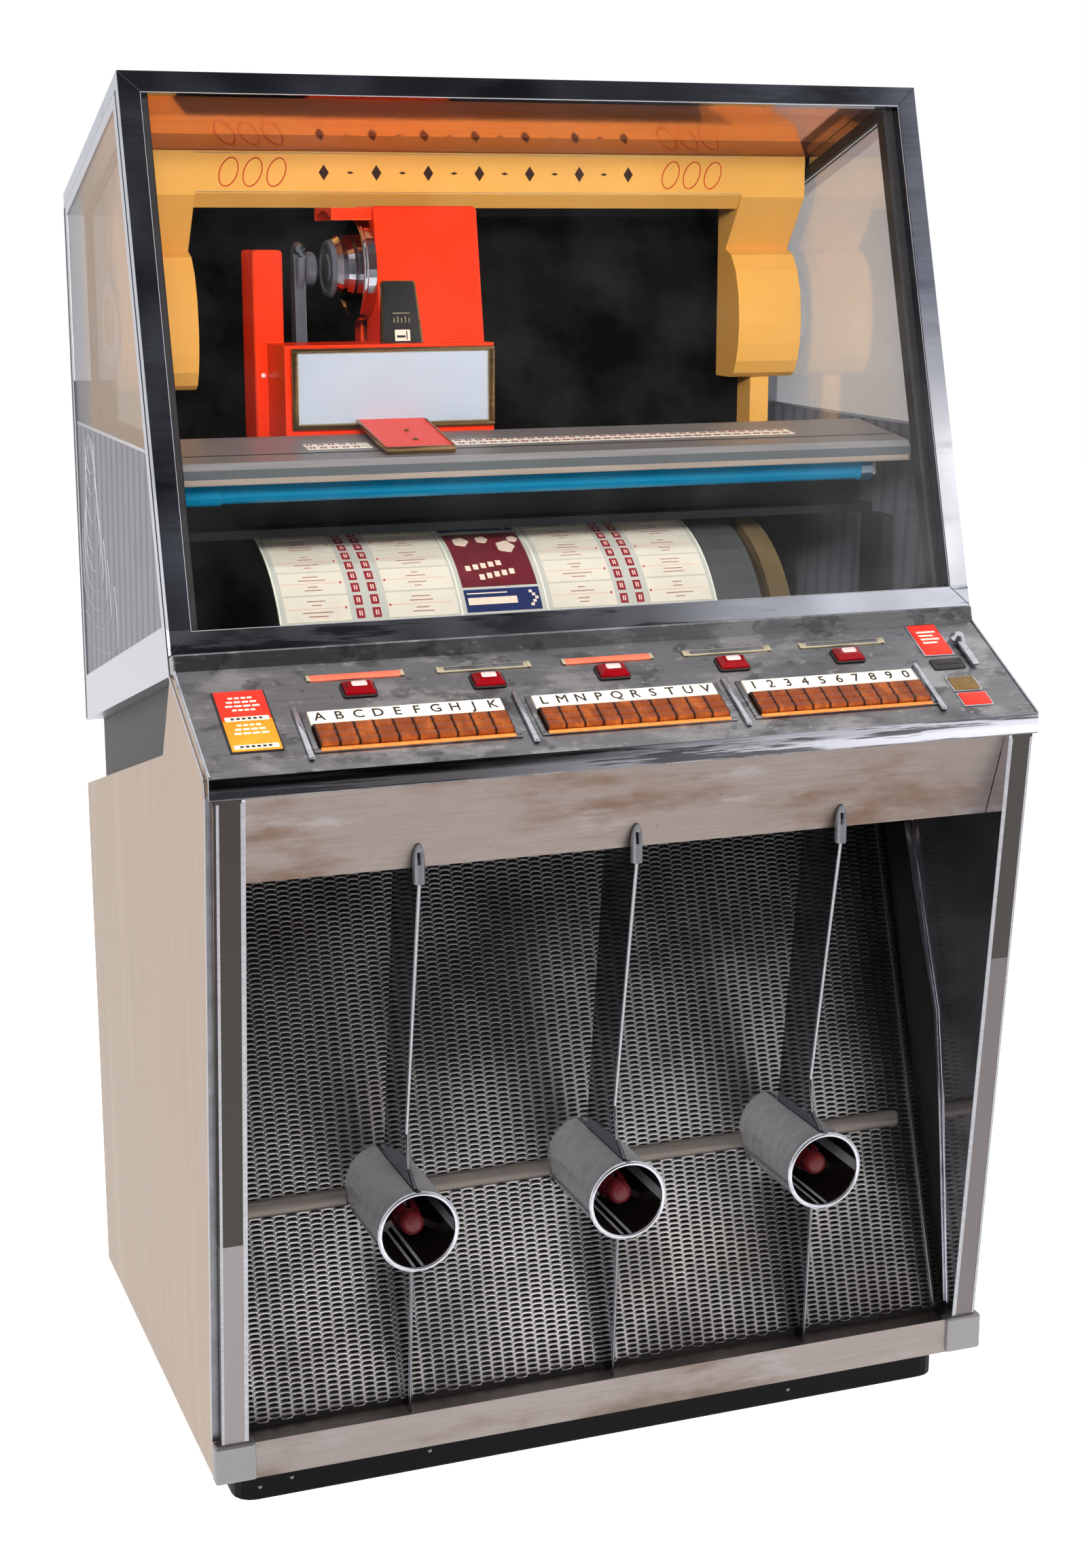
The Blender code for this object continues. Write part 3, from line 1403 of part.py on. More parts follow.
def carriage():
    """The travelling base, the upright that carries the spindle and the ears of the tone arm."""
    left, bay, tower, right, tower_top = cover_places()
    low = BED_Z + SLIDE
    base_top = low + CARRIAGE_BASE
    front = RAIL_REAR_Y + SLIDE
    rear = COVER_REAR_Y - COVER_SKIN
    base = box("carriage", (left + CARRIAGE_INSET, front, low), (right - CARRIAGE_INSET, rear, base_top), GREY)
    axis_z = tower_top - TURNTABLE_DROP
    axis_y = turntable_y()
    start = tower + 2 * CARRIAGE_INSET
    upright_plate = box(
        "carriage_upright",
        (start, axis_y - UPRIGHT_DEPTH / 2, base_top - CARRIAGE_BASE / 2),
        (start + UPRIGHT_THICKNESS, axis_y + UPRIGHT_DEPTH / 2, axis_z + UPRIGHT_DEPTH / 2),
    )
    join(base, upright_plate)
    bore = SPINDLE_RADIUS + SHAFT_RUNNING
    drill = turned(
        "upright_bore",
        [(0.0, OVERRUN), (bore, OVERRUN), (bore, -OVERRUN), (0.0, -OVERRUN)],
        across(start, axis_y, axis_z),
        steps=SMALL_STEPS,
    )
    cut(base, drill)
    inside = COVER_SKIN + SLIDE
    for name, x in (
        ("carriage_cover_foot_left", left + BOX_INSET + inside),
        ("carriage_cover_foot_right", right - inside - COVER_FOOT),
    ):
        foot = box(
            name,
            (x, COVER_Y + inside, base_top - CARRIAGE_BASE / 2),
            (x + COVER_FOOT, COVER_Y + inside + COVER_FOOT, RAIL_Z + SLIDE + COVER_EDGE),
        )
        join(base, foot)
    arm_x, pivot_z = arm_place()
    for name, x in (("arm_ear_left", arm_x - EAR_THICKNESS - SLIDE), ("arm_ear_right", arm_x + ARM_THICKNESS + SLIDE)):
        ear = box(
            name,
            (x, axis_y - ARM_WIDTH / 2, base_top - CARRIAGE_BASE / 2),
            (x + EAR_THICKNESS, axis_y + ARM_WIDTH / 2, pivot_z + ARM_WIDTH / 2),
        )
        join(base, ear)
    hole = ARM_PIN_RADIUS + SHAFT_RUNNING
    reach = OVERRUN + ARM_THICKNESS
    pin_hole = turned(
        "arm_pin_hole",
        [(0.0, reach), (hole, reach), (hole, -reach), (0.0, -reach)],
        across(arm_x + ARM_THICKNESS / 2, axis_y, pivot_z),
        steps=SMALL_STEPS,
    )
    cut(base, pin_hole)
    return base


def arm_place():
    """Left face of the tone arm and the height of its pivot."""
    left, bay, tower, right, tower_top = cover_places()
    return bay + ARM_INSET + EAR_THICKNESS + SLIDE, BED_Z + ARM_PIVOT_RISE


def tone_arm():
    """The grey arm beside the turntable, on a pin through its foot."""
    left, bay, tower, right, tower_top = cover_places()
    x, pivot_z = arm_place()
    y = turntable_y()
    top = tower_top - ARM_TOP_DROP
    low = ARM_WIDTH / 2 - SLIDE
    turns = 8
    half = ARM_WIDTH / 2
    points = []
    for i in range(turns + 1):
        t = math.pi + i * math.pi / turns
        points.append((y + low * math.cos(t), pivot_z + low * math.sin(t)))
    for i in range(turns + 1):
        t = i * math.pi / turns
        points.append((y + half / 2 * math.cos(t), top - half / 2 + half / 2 * math.sin(t)))
    arm = side_outline("tone_arm", points, x, x + ARM_THICKNESS, GREY, (y, pivot_z))
    reach = EAR_THICKNESS + SLIDE
    pin = turned(
        "tone_arm_pin",
        [
            (0.0, ARM_THICKNESS + reach),
            (ARM_PIN_RADIUS, ARM_THICKNESS + reach),
            (ARM_PIN_RADIUS, -reach),
            (0.0, -reach),
        ],
        across(x, y, pivot_z),
        steps=SMALL_STEPS,
    )
    join(arm, pin)
    return arm


def turntable():
    """The flywheel and bright hub that clamp a record upright, on a spindle through the upright."""
    left, bay, tower, right, tower_top = cover_places()
    axis_z = tower_top - TURNTABLE_DROP
    end = tower + 2 * CARRIAGE_INSET + UPRIGHT_THICKNESS + SPINDLE_RADIUS
    disc = tower - TURNTABLE_WIDTH
    hub = disc - HUB_WIDTH
    groove = HUB_WIDTH / 4
    profile = [
        (0.0, end),
        (SPINDLE_RADIUS, end),
        (SPINDLE_RADIUS, tower - SLIDE),
        (TURNTABLE_RADIUS, tower - SLIDE),
        (TURNTABLE_RADIUS, disc),
        (HUB_RADIUS, disc),
        (HUB_RADIUS, disc - groove),
        (HUB_RADIUS - SPINDLE_RADIUS / 2, disc - 2 * groove),
        (HUB_RADIUS, disc - 3 * groove),
        (HUB_RADIUS - SPINDLE_RADIUS, hub),
        (0.0, hub),
    ]
    plate = turned("turntable", profile, across(0.0, turntable_y(), axis_z), CHROME)
    smooth(plate)
    return plate


def amplifier():
    """Chassis, two transformers and a row of valves on the case floor."""
    rear = REAR_Y - BACK_THICKNESS - AMP_REAR_SPACE
    low = PLINTH_HEIGHT + FLOOR_THICKNESS + TOUCH
    top = low + AMP_HEIGHT
    half = AMP_WIDTH / 2
    chassis = box("amplifier", (-half, rear - AMP_DEPTH, low), (half, rear, top), GREY)
    lap = AMP_HEIGHT / 4
    for name, side in (("transformer_left", -1), ("transformer_right", 1)):
        x = side * (half - TRANSFORMER_SIZE / 2 - lap)
        transformer = box(
            name,
            (x - TRANSFORMER_SIZE / 2, rear - lap - TRANSFORMER_SIZE, top - lap),
            (x + TRANSFORMER_SIZE / 2, rear - lap, top + TRANSFORMER_SIZE),
        )
        join(chassis, transformer)
    for i in range(3):
        x = (i - 1) * 2.5 * VALVE_RADIUS
        dome = VALVE_RADIUS / 2
        valve = turned(
            f"valve_{i}",
            [
                (0.0, VALVE_HEIGHT),
                (dome, VALVE_HEIGHT - dome / 4),
                (VALVE_RADIUS, VALVE_HEIGHT - dome),
                (VALVE_RADIUS, -lap),
                (0.0, -lap),
            ],
            upright(x, rear - AMP_DEPTH + 2 * VALVE_RADIUS, top),
            steps=SMALL_STEPS // 2,
        )
        join(chassis, valve)


def loudspeaker():
    """The speaker board behind the grille, with one cone and its basket and magnet."""
    half = HALF - SIDE_THICKNESS - CLEAT_WIDTH
    front = -GRILLE_THICKNESS - TOUCH
    back = front - BAFFLE_THICKNESS
    start = BAFFLE_FOOT_GAP
    board = face_box(
        "loudspeaker", GRILLE_FACE, -half, half, (start, start + BAFFLE_HEIGHT), (back, front), BOARD
    )
    y, z = GRILLE_FACE.point(start + BAFFLE_HEIGHT / 2, front)
    outwards = Matrix.Translation((0.0, y, z)) @ Matrix.Rotation(GRILLE_FACE.angle, 4, "X")
    deep = BAFFLE_THICKNESS + CONE_DEPTH
    basket = turned(
        "speaker_basket",
        [
            (0.0, -BASKET_WALL),
            (CONE_RADIUS + BASKET_WALL, -BASKET_WALL),
            (MAGNET_RADIUS + BASKET_WALL, -deep),
            (MAGNET_RADIUS + BASKET_WALL, -deep - MAGNET_DEPTH),
            (0.0, -deep - MAGNET_DEPTH),
        ],
        outwards,
    )
    cone = turned(
        "speaker_cone",
        [(0.0, OVERRUN), (CONE_RADIUS, OVERRUN), (CONE_RADIUS, 0.0), (MAGNET_RADIUS, -CONE_DEPTH), (0.0, -CONE_DEPTH)],
        outwards,
    )
    cut(join(board, basket), cone)


plinth()
cabinet_shell()
front_frame()
fascia_panel()
grille_panel()
for tube_name, place in (("tail_tube_left", -1), ("tail_tube_center", 0), ("tail_tube_right", 1)):
    tail_tube(tube_name, place * TUBE_SPACING)
selector_deck()
keys()
buttons()
coin_lever()
canopy_housing()
side_glasses()
carry("lid_hinge", (0.0, *lid_hinge()), lid_frame(), front_glass())
title_drum()
mechanism_bed()
lamp_tube()
header_arch()
carry("carriage_slide", (0.0, COVER_Y, BED_Z), carriage(), mechanism_cover(), tone_arm(), turntable())
amplifier()
loudspeaker()
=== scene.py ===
"""The looks of the jukebox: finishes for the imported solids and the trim, cards, mesh and labels around them.

Depths are counted from the face of the foot caps, as in the part's source, and TO_FLOOR carries every
piece to the middle of the floor.
"""
import math

import bmesh
import bpy
from mathutils import Matrix, Vector


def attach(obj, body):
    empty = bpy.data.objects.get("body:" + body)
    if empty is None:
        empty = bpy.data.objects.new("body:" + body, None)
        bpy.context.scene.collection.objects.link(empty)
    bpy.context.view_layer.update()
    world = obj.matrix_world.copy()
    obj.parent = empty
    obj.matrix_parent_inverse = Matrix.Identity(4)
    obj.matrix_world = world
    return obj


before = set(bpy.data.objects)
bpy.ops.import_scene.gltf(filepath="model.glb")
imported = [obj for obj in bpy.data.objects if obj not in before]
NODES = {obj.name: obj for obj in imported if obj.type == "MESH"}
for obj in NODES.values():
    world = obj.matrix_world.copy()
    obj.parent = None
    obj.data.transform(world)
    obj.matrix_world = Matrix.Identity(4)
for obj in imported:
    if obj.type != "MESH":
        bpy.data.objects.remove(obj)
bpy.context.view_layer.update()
SCENE = bpy.context.scene

MIDDLE_Y = 0.261
HALF = 0.440
INNER_HALF = 0.4070
SIDES = ((-1, "left"), (1, "right"))
TUBE_PLACES = (-0.229, 0.0, 0.229)
TUBE_HEIGHT = 0.2985
BANK_PITCH = 0.229
KEY_PITCH = 0.0195
BUTTON_PITCH = 0.1335
SPINDLE = (0.385, 1.2445)
LAMP_AXIS = (0.203, 1.027)
TO_FLOOR = Matrix.Translation((0.0, -MIDDLE_Y, 0.0))


class Slope:
    """A sloping plane across the case, with the distance along it and out of it."""

    def __init__(self, y, z, rise, run):
        self.y = y
        self.z = z
        self.angle = math.atan2(rise, run)

    def point(self, along, out):
        c = math.cos(self.angle)
        s = math.sin(self.angle)
        return self.y + along * c - out * s, self.z + along * s + out * c

    def place(self, x, along, out):
        y, z = self.point(along, out)
        return TO_FLOOR @ Matrix.Translation((x, y, z)) @ Matrix.Rotation(self.angle, 4, "X")


DECK = Slope(-0.066, 0.796, 0.076, 0.141)
CANOPY = Slope(0.081, 0.887, 0.551, 0.163)
GRILLE = Slope(0.037, 0.082, 0.5505, 0.180)
GRILLE_LENGTH = math.hypot(0.5505, 0.180)
DRUM = (0.346, 0.809, 0.158)


def upright(x, y, z):
    """Local X to the right, local Y up, local Z towards the front."""
    return TO_FLOOR @ Matrix.Translation((x, y, z)) @ Matrix.Rotation(math.pi / 2, 4, "X")


# ---------------------------------------------------------------- node groups


def linear(colour):
    """A colour as seen on a screen, as the light values that shaders take."""
    return tuple(c / 12.92 if c <= 0.04045 else ((c + 0.055) / 1.055) ** 2.4 for c in colour)


def shader_group(name, inputs, outputs):
    group = bpy.data.node_groups.new(name, "ShaderNodeTree")
    for label, kind, value in inputs:
        socket = group.interface.new_socket(label, in_out="INPUT", socket_type=kind)
        if value is not None:
            socket.default_value = value
    for label, kind in outputs:
        group.interface.new_socket(label, in_out="OUTPUT", socket_type=kind)
    start = group.nodes.new("NodeGroupInput")
    end = group.nodes.new("NodeGroupOutput")
    return group, start, end


def wire(tree, kind, links=(), **settings):
    """Adds a node, sets its properties and joins (input, source) pairs; a source is a socket or a value."""
    node = tree.nodes.new(kind)
    for key, value in settings.items():
        setattr(node, key, value)
    for key, source in links:
        if isinstance(source, bpy.types.NodeSocket):
            tree.links.new(source, node.inputs[key])
        else:
            node.inputs[key].default_value = source
    return node


def math_node(tree, operation, first, second=None, clamp=False):
    """The result of one step of arithmetic."""
    links = [(0, first)] if second is None else [(0, first), (1, second)]
    return wire(tree, "ShaderNodeMath", links, operation=operation, use_clamp=clamp).outputs[0]


def smooth_step(tree, value, low, high):
    """0 below one value and 1 above another, with a soft passage between."""
    links = [("Value", value), ("From Min", low), ("From Max", high)]
    return wire(tree, "ShaderNodeMapRange", links, interpolation_type="SMOOTHSTEP").outputs["Result"]


def grain_group():
    """Streaks of noise drawn out along one axis of the object."""
    group, start, end = shader_group(
        "grain_streaks",
        [("Density", "NodeSocketVector", (40.0, 40.0, 2.0)), ("Detail", "NodeSocketFloat", 4.0)],
        [("Value", "NodeSocketFloat"), ("Broad", "NodeSocketFloat")],
    )
    where = wire(group, "ShaderNodeTexCoord")
    scaled = wire(
        group,
        "ShaderNodeVectorMath",
        [(0, where.outputs["Object"]), (1, start.outputs["Density"])],
        operation="MULTIPLY",
    )
    fine = wire(
        group,
        "ShaderNodeTexNoise",
        [("Vector", scaled.outputs[0]), ("Scale", 1.0), ("Detail", start.outputs["Detail"])],
    )
    slow = wire(group, "ShaderNodeVectorMath", [(0, scaled.outputs[0]), ("Scale", 0.13)], operation="SCALE")
    broad = wire(group, "ShaderNodeTexNoise", [("Vector", slow.outputs[0]), ("Scale", 1.0), ("Detail", 2.0)])
    group.links.new(fine.outputs["Fac"], end.inputs["Value"])
    group.links.new(broad.outputs["Fac"], end.inputs["Broad"])
    return group


def patch_group():
    """Soft blotches: a mask that is 1 inside stains and worn patches, and inside the patches of painted shadow
    and painted reflection that some finishes lay with it.
    """
    group, start, end = shader_group(
        "stain_and_painted_light_patches",
        [
            ("Density", "NodeSocketVector", (8.0, 8.0, 8.0)),
            ("Threshold", "NodeSocketFloat", 0.55),
            ("Softness", "NodeSocketFloat", 0.1),
        ],
        [("Mask", "NodeSocketFloat")],
    )
    where = wire(group, "ShaderNodeTexCoord")
    scaled = wire(
        group,
        "ShaderNodeVectorMath",
        [(0, where.outputs["Object"]), (1, start.outputs["Density"])],
        operation="MULTIPLY",
    )
    noise = wire(
        group,
        "ShaderNodeTexNoise",
        [("Vector", scaled.outputs[0]), ("Scale", 1.0), ("Detail", 5.0), ("Roughness", 0.62)],
    )
    top = math_node(group, "ADD", start.outputs["Threshold"], start.outputs["Softness"])
    ramp = smooth_step(group, noise.outputs["Fac"], start.outputs["Threshold"], top)
    group.links.new(ramp, end.inputs["Mask"])
    return group


def region_group():
    """A mask that is 1 where the object lies inside a box, in the part's own place."""
    group, start, end = shader_group(
        "inside_box",
        [("Low", "NodeSocketVector", (-1.0, -1.0, -1.0)), ("High", "NodeSocketVector", (1.0, 1.0, 1.0))],
        [("Mask", "NodeSocketFloat")],
    )
    where = wire(group, "ShaderNodeTexCoord").outputs["Object"]
    sides = []
    for a, b in ((where, start.outputs["Low"]), (start.outputs["High"], where)):
        gap = wire(group, "ShaderNodeVectorMath", [(0, a), (1, b)], operation="SUBTRACT")
        parts = wire(group, "ShaderNodeSeparateXYZ", [(0, gap.outputs[0])])
        two = math_node(group, "MINIMUM", parts.outputs[0], parts.outputs[1])
        sides.append(math_node(group, "MINIMUM", two, parts.outputs[2]))
    least = math_node(group, "MINIMUM", sides[0], sides[1])
    inside = math_node(group, "GREATER_THAN", least, 0.0)
    group.links.new(inside, end.inputs["Mask"])
    return group


def edge_group():
    """Wear: a mask that is 1 along sharp edges, broken up by noise."""
    group, start, end = shader_group(
        "worn_edges",
        [("Radius", "NodeSocketFloat", 0.002), ("Strength", "NodeSocketFloat", 4.0)],
        [("Mask", "NodeSocketFloat")],
    )
    geometry = wire(group, "ShaderNodeNewGeometry")
    bevel = wire(group, "ShaderNodeBevel", [("Radius", start.outputs["Radius"])], samples=4)
    dot = wire(
        group,
        "ShaderNodeVectorMath",
        [(0, geometry.outputs["Normal"]), (1, bevel.outputs[0])],
        operation="DOT_PRODUCT",
    )
    bend = math_node(group, "SUBTRACT", 1.0, dot.outputs["Value"])
    where = wire(group, "ShaderNodeTexCoord")
    noise = wire(
        group, "ShaderNodeTexNoise", [("Vector", where.outputs["Object"]), ("Scale", 60.0), ("Detail", 3.0)]
    )
    worn = math_node(group, "MULTIPLY", bend, start.outputs["Strength"])
    broken = math_node(group, "MULTIPLY", worn, noise.outputs["Fac"], clamp=True)
    group.links.new(broken, end.inputs["Mask"])
    return group


def lines_group():
    """Even lines across one direction: 1 on a line, 0 between."""
    group, start, end = shader_group(
        "even_lines",
        [
            ("Direction", "NodeSocketVector", (0.0, 0.0, 1.0)),
            ("Pitch", "NodeSocketFloat", 0.01),
            ("Share", "NodeSocketFloat", 0.3),
        ],
        [("Mask", "NodeSocketFloat")],
    )
    where = wire(group, "ShaderNodeTexCoord").outputs["Object"]
    along = wire(
        group, "ShaderNodeVectorMath", [(0, where), (1, start.outputs["Direction"])], operation="DOT_PRODUCT"
    )
    turns = math_node(group, "DIVIDE", along.outputs["Value"], start.outputs["Pitch"])
    part = math_node(group, "FRACT", turns)
    mask = math_node(group, "LESS_THAN", part, start.outputs["Share"])
    group.links.new(mask, end.inputs["Mask"])
    return group


def along_group():
    """How far along a direction a point of the object lies, from 0 at one place to 1 at another."""
    group, start, end = shader_group(
        "share_along",
        [
            ("Direction", "NodeSocketVector", (0.0, 0.0, 1.0)),
            ("Low", "NodeSocketFloat", 0.0),
            ("High", "NodeSocketFloat", 1.0),
        ],
        [("Share", "NodeSocketFloat")],
    )
    where = wire(group, "ShaderNodeTexCoord").outputs["Object"]
    along = wire(
        group, "ShaderNodeVectorMath", [(0, where), (1, start.outputs["Direction"])], operation="DOT_PRODUCT"
    )
    share = smooth_step(group, along.outputs["Value"], start.outputs["Low"], start.outputs["High"])
    group.links.new(share, end.inputs["Share"])
    return group


def key_side_shade_group():
    """A mask that rises to 1 at the two ends of each object across the case, where the keys get their painted
    shade.
    """
    group, start, end = shader_group(
        "key_side_shade_mask",
        [("Start", "NodeSocketFloat", 0.3), ("End", "NodeSocketFloat", 0.48)],
        [("Mask", "NodeSocketFloat")],
    )
    where = wire(group, "ShaderNodeTexCoord").outputs["Generated"]
    parts = wire(group, "ShaderNodeSeparateXYZ", [(0, where)])
    off = math_node(group, "SUBTRACT", parts.outputs[0], 0.5)
    away = math_node(group, "ABSOLUTE", off)
    ramp = smooth_step(group, away, start.outputs["Start"], start.outputs["End"])
    group.links.new(ramp, end.inputs["Mask"])
    return group


ALONG = along_group()
KEY_SIDE_SHADE = key_side_shade_group()
GRAIN = grain_group()
PATCHES = patch_group()
REGION = region_group()
EDGES = edge_group()
LINES = lines_group()


def every_way(density):
    """A density for each direction, from one number or three."""
    return (density,) * 3 if isinstance(density, float) else density


# A Mix node's places for colours.
FIRST_COLOUR, SECOND_COLOUR, MIXED_COLOUR = 6, 7, 2


class Finish:
    """A Principled material that colours, roughness and bumps are laid into one after another."""

    def __init__(
        self, name, colour, roughness, metallic=0.0, coat=0.0, coat_roughness=0.05, ior=None, specular=None
    ):
        self.material = bpy.data.materials.new(name)
        self.material.use_nodes = True
        self.tree = self.material.node_tree
        self.shader = self.tree.nodes["Principled BSDF"]
        self.colour = None
        self.start_colour = (*linear(colour), 1.0)
        self.shader.inputs["Base Color"].default_value = self.start_colour
        self.shader.inputs["Roughness"].default_value = roughness
        self.shader.inputs["Metallic"].default_value = metallic
        self.shader.inputs["Coat Weight"].default_value = coat
        self.shader.inputs["Coat Roughness"].default_value = coat_roughness
        if ior:
            self.shader.inputs["IOR"].default_value = ior
        if specular is not None:
            self.shader.inputs["Specular IOR Level"].default_value = specular

    def use(self, group, output=0, **inputs):
        """Places a shared group with its own values and gives one of its outputs."""
        node = self.tree.nodes.new("ShaderNodeGroup")
        node.node_tree = group
        for key, value in inputs.items():
            node.inputs[key].default_value = value
        return node.outputs[output]

    def mix_over(self, factor, over, way):
        """Mixes a colour, or a socket that gives one, over the colour so far."""
        below = self.colour or self.start_colour
        mix = wire(
            self.tree,
            "ShaderNodeMix",
            [("Factor", factor), (FIRST_COLOUR, below), (SECOND_COLOUR, over)],
            data_type="RGBA",
            blend_type=way,
        )
        self.colour = mix.outputs[MIXED_COLOUR]
        self.tree.links.new(self.colour, self.shader.inputs["Base Color"])
        return self

    def blend(self, mask, colour, strength=1.0):
        """Lays a colour over what is there, by a mask."""
        if strength != 1.0:
            mask = math_node(self.tree, "MULTIPLY", mask, strength, clamp=True)
        return self.mix_over(mask, (*linear(colour), 1.0), "MIX")

    def stain(self, density, threshold, softness, colour, strength):
        """Lays a colour on in soft patches."""
        patches = self.use(PATCHES, Density=every_way(density), Threshold=threshold, Softness=softness)
        return self.blend(patches, colour, strength)

    def tone(self, value, low, high, start=0.3, end=0.7):
        """Multiplies the colour by low to high as a value goes from start to end."""
        span = [("From Min", start), ("From Max", end), ("To Min", low), ("To Max", high)]
        shade = wire(self.tree, "ShaderNodeMapRange", [("Value", value), *span]).outputs[0]
        grey = wire(self.tree, "ShaderNodeCombineColor", [(i, shade) for i in range(3)])
        return self.mix_over(1.0, grey.outputs[0], "MULTIPLY")

    def socket(self, name, mask, off, on):
        """Drives roughness, metallic or another changing socket from one value to another by a mask."""
        source = self.shader.inputs[name]
        start = source.links[0].from_socket if source.is_linked else off
        mix = wire(self.tree, "ShaderNodeMix", [("Factor", mask), ("A", start), ("B", on)], data_type="FLOAT")
        self.tree.links.new(mix.outputs[0], source)
        return self

    def bump(self, height, distance, strength=1.0):
        node = wire(
            self.tree, "ShaderNodeBump", [("Height", height), ("Distance", distance), ("Strength", strength)]
        )
        before = self.shader.inputs["Normal"]
        if before.is_linked:
            self.tree.links.new(before.links[0].from_socket, node.inputs["Normal"])
        self.tree.links.new(node.outputs[0], before)
        return self

    def glow(self, colour, strength):
        self.shader.inputs["Emission Color"].default_value = (*linear(colour), 1.0)
        self.shader.inputs["Emission Strength"].default_value = strength
        return self


def box_mask(finish, low, high):
    """The mask of a box given in case depths."""
    return finish.use(
        REGION,
        Low=(low[0], low[1] - MIDDLE_Y, low[2]),
        High=(high[0], high[1] - MIDDLE_Y, high[2]),
    )


# ---------------------------------------------------------------- finishes


def toned(finish, density, low, high, detail=4.0):
    """Gives a finish a fine unevenness; one number as density holds in every direction."""
    return finish.tone(finish.use(GRAIN, Density=every_way(density), Detail=detail), low, high)


def chrome_plate(name, colour, roughness, marks):
    """Plated trim: bright where clean, with cloudy patches and fine wiping marks."""
    made = Finish(name, colour, roughness, 1.0)
    clouds = made.use(PATCHES, Density=(7.0, 20.0, 30.0), Threshold=0.5, Softness=0.22)
    made.blend(clouds, marks, 0.55)
    streaks = made.use(GRAIN, Density=(14.0, 260.0, 260.0), Detail=5.0)
    made.tone(streaks, 0.9, 1.08)
    made.socket("Roughness", clouds, roughness, roughness + 0.14)
    made.bump(made.use(GRAIN, 1, Density=(20.0, 60.0, 60.0)), 0.0006, 0.25)
    return made


def brushed_metal(name, colour, stain):
    """Bare metal with a grain across the case and old brown stains."""
    made = Finish(name, colour, 0.42, 1.0)
    grain = made.use(GRAIN, Density=(14.0, 420.0, 420.0), Detail=6.0)
    made.tone(grain, 0.92, 1.06)
    stains = made.use(PATCHES, Density=(5.0, 12.0, 16.0), Threshold=0.46, Softness=0.22)
    made.blend(stains, stain, 0.62)
    made.stain((9.0, 30.0, 34.0), 0.56, 0.14, (0.66, 0.64, 0.64), 0.5)
    made.stain(80.0, 0.70, 0.05, (0.24, 0.18, 0.14), 0.7)
    made.socket("Roughness", stains, 0.42, 0.6)
    made.bump(grain, 0.0002, 0.3)
    return made


LID_CHROME = chrome_plate("lid_chrome", (0.60, 0.62, 0.68), 0.07, (0.42, 0.44, 0.50))
# Painted reflection: the lid's lower rail is painted paler than the rest of its chrome, broken by darker
# patches.
lower_rail_painted_reflection = box_mask(LID_CHROME, (-0.45, -0.05, 0.86), (0.45, 0.1105, 0.909))
LID_CHROME.blend(lower_rail_painted_reflection, (0.90, 0.91, 0.96))
rail_reflection_patches = math_node(
    LID_CHROME.tree,
    "MULTIPLY",
    lower_rail_painted_reflection,
    LID_CHROME.use(PATCHES, Density=(5.0, 60.0, 60.0), Threshold=0.50, Softness=0.08),
)
LID_CHROME.blend(rail_reflection_patches, (0.42, 0.43, 0.48), 0.85)
# Painted reflection: the right stile is painted near-white on its lower part, fading out between two heights.
right_stile_painted_reflection = box_mask(LID_CHROME, (0.4185, 0.0, 0.909), (0.45, 0.3, 1.38))
stile_height = LID_CHROME.use(ALONG, Low=1.04, High=1.24)
below = math_node(LID_CHROME.tree, "SUBTRACT", right_stile_painted_reflection, stile_height)
LID_CHROME.blend(math_node(LID_CHROME.tree, "MAXIMUM", below, 0.0), (0.97, 0.97, 1.0))
DECK_CHROME = chrome_plate("deck_chrome", (0.55, 0.55, 0.56), 0.30, (0.38, 0.37, 0.38))
DECK_CHROME.stain((10.0, 22.0, 22.0), 0.50, 0.14, (0.80, 0.78, 0.78), 0.5)
DECK_CHROME.stain((26.0, 40.0, 40.0), 0.55, 0.08, (0.22, 0.21, 0.21), 0.45)
DECK_CHROME.stain((60.0, 90.0, 90.0), 0.60, 0.06, (0.84, 0.82, 0.81), 0.35)
# Painted reflection on the deck lip: dark chrome that pales towards the right, with a dark wavy line laid
# across it.
LIP = chrome_plate("lip_chrome_painted_reflection", (0.29, 0.28, 0.29), 0.12, (0.22, 0.21, 0.22))
LIP.blend(LIP.use(ALONG, Direction=(1.0, 0.0, 0.0), Low=-0.25, High=0.46), (0.86, 0.86, 0.90))
LIP.stain((4.0, 10.0, 120.0), 0.52, 0.05, (0.13, 0.13, 0.15), 0.8)
BRIGHT = chrome_plate("bright_trim", (0.80, 0.80, 0.83), 0.10, (0.60, 0.60, 0.64))
SATIN = toned(Finish("satin_aluminium", (0.68, 0.68, 0.70), 0.36, 1.0), (30.0, 300.0, 300.0), 0.85, 1.1, 5.0)
SATIN.bump(SATIN.use(GRAIN, Density=(30.0, 300.0, 300.0), Detail=3.0), 0.0002, 0.25)
DIM_SATIN = toned(Finish("dim_satin", (0.50, 0.50, 0.52), 0.34, 1.0), (60.0, 200.0, 60.0), 0.8, 1.12, 5.0)
FASCIA = brushed_metal("fascia_metal", (0.565, 0.52, 0.50), (0.50, 0.37, 0.28))

CREAM = toned(
    Finish("cream_laminate", (0.755, 0.640, 0.545), 0.42, coat=0.12, coat_roughness=0.3),
    (120.0, 150.0, 3.2),
    0.93,
    1.05,
    7.0,
)
CREAM.stain((90.0, 210.0, 2.6), 0.56, 0.12, (0.69, 0.57, 0.44), 0.5)
CREAM.stain((12.0, 26.0, 1.0), 0.52, 0.2, (0.83, 0.73, 0.63), 0.4)
CREAM.bump(CREAM.use(GRAIN, Density=(120.0, 190.0, 4.0), Detail=6.0), 0.0002, 0.25)
# Painted shade: the shell's faces inside its side walls are painted dark grey, for the shaded gaps beside the
# grille.
board = box_mask(CREAM, (-0.4202, -0.2, 0.0), (0.4202, 0.9, 0.9))
CREAM.blend(board, (0.17, 0.165, 0.165))

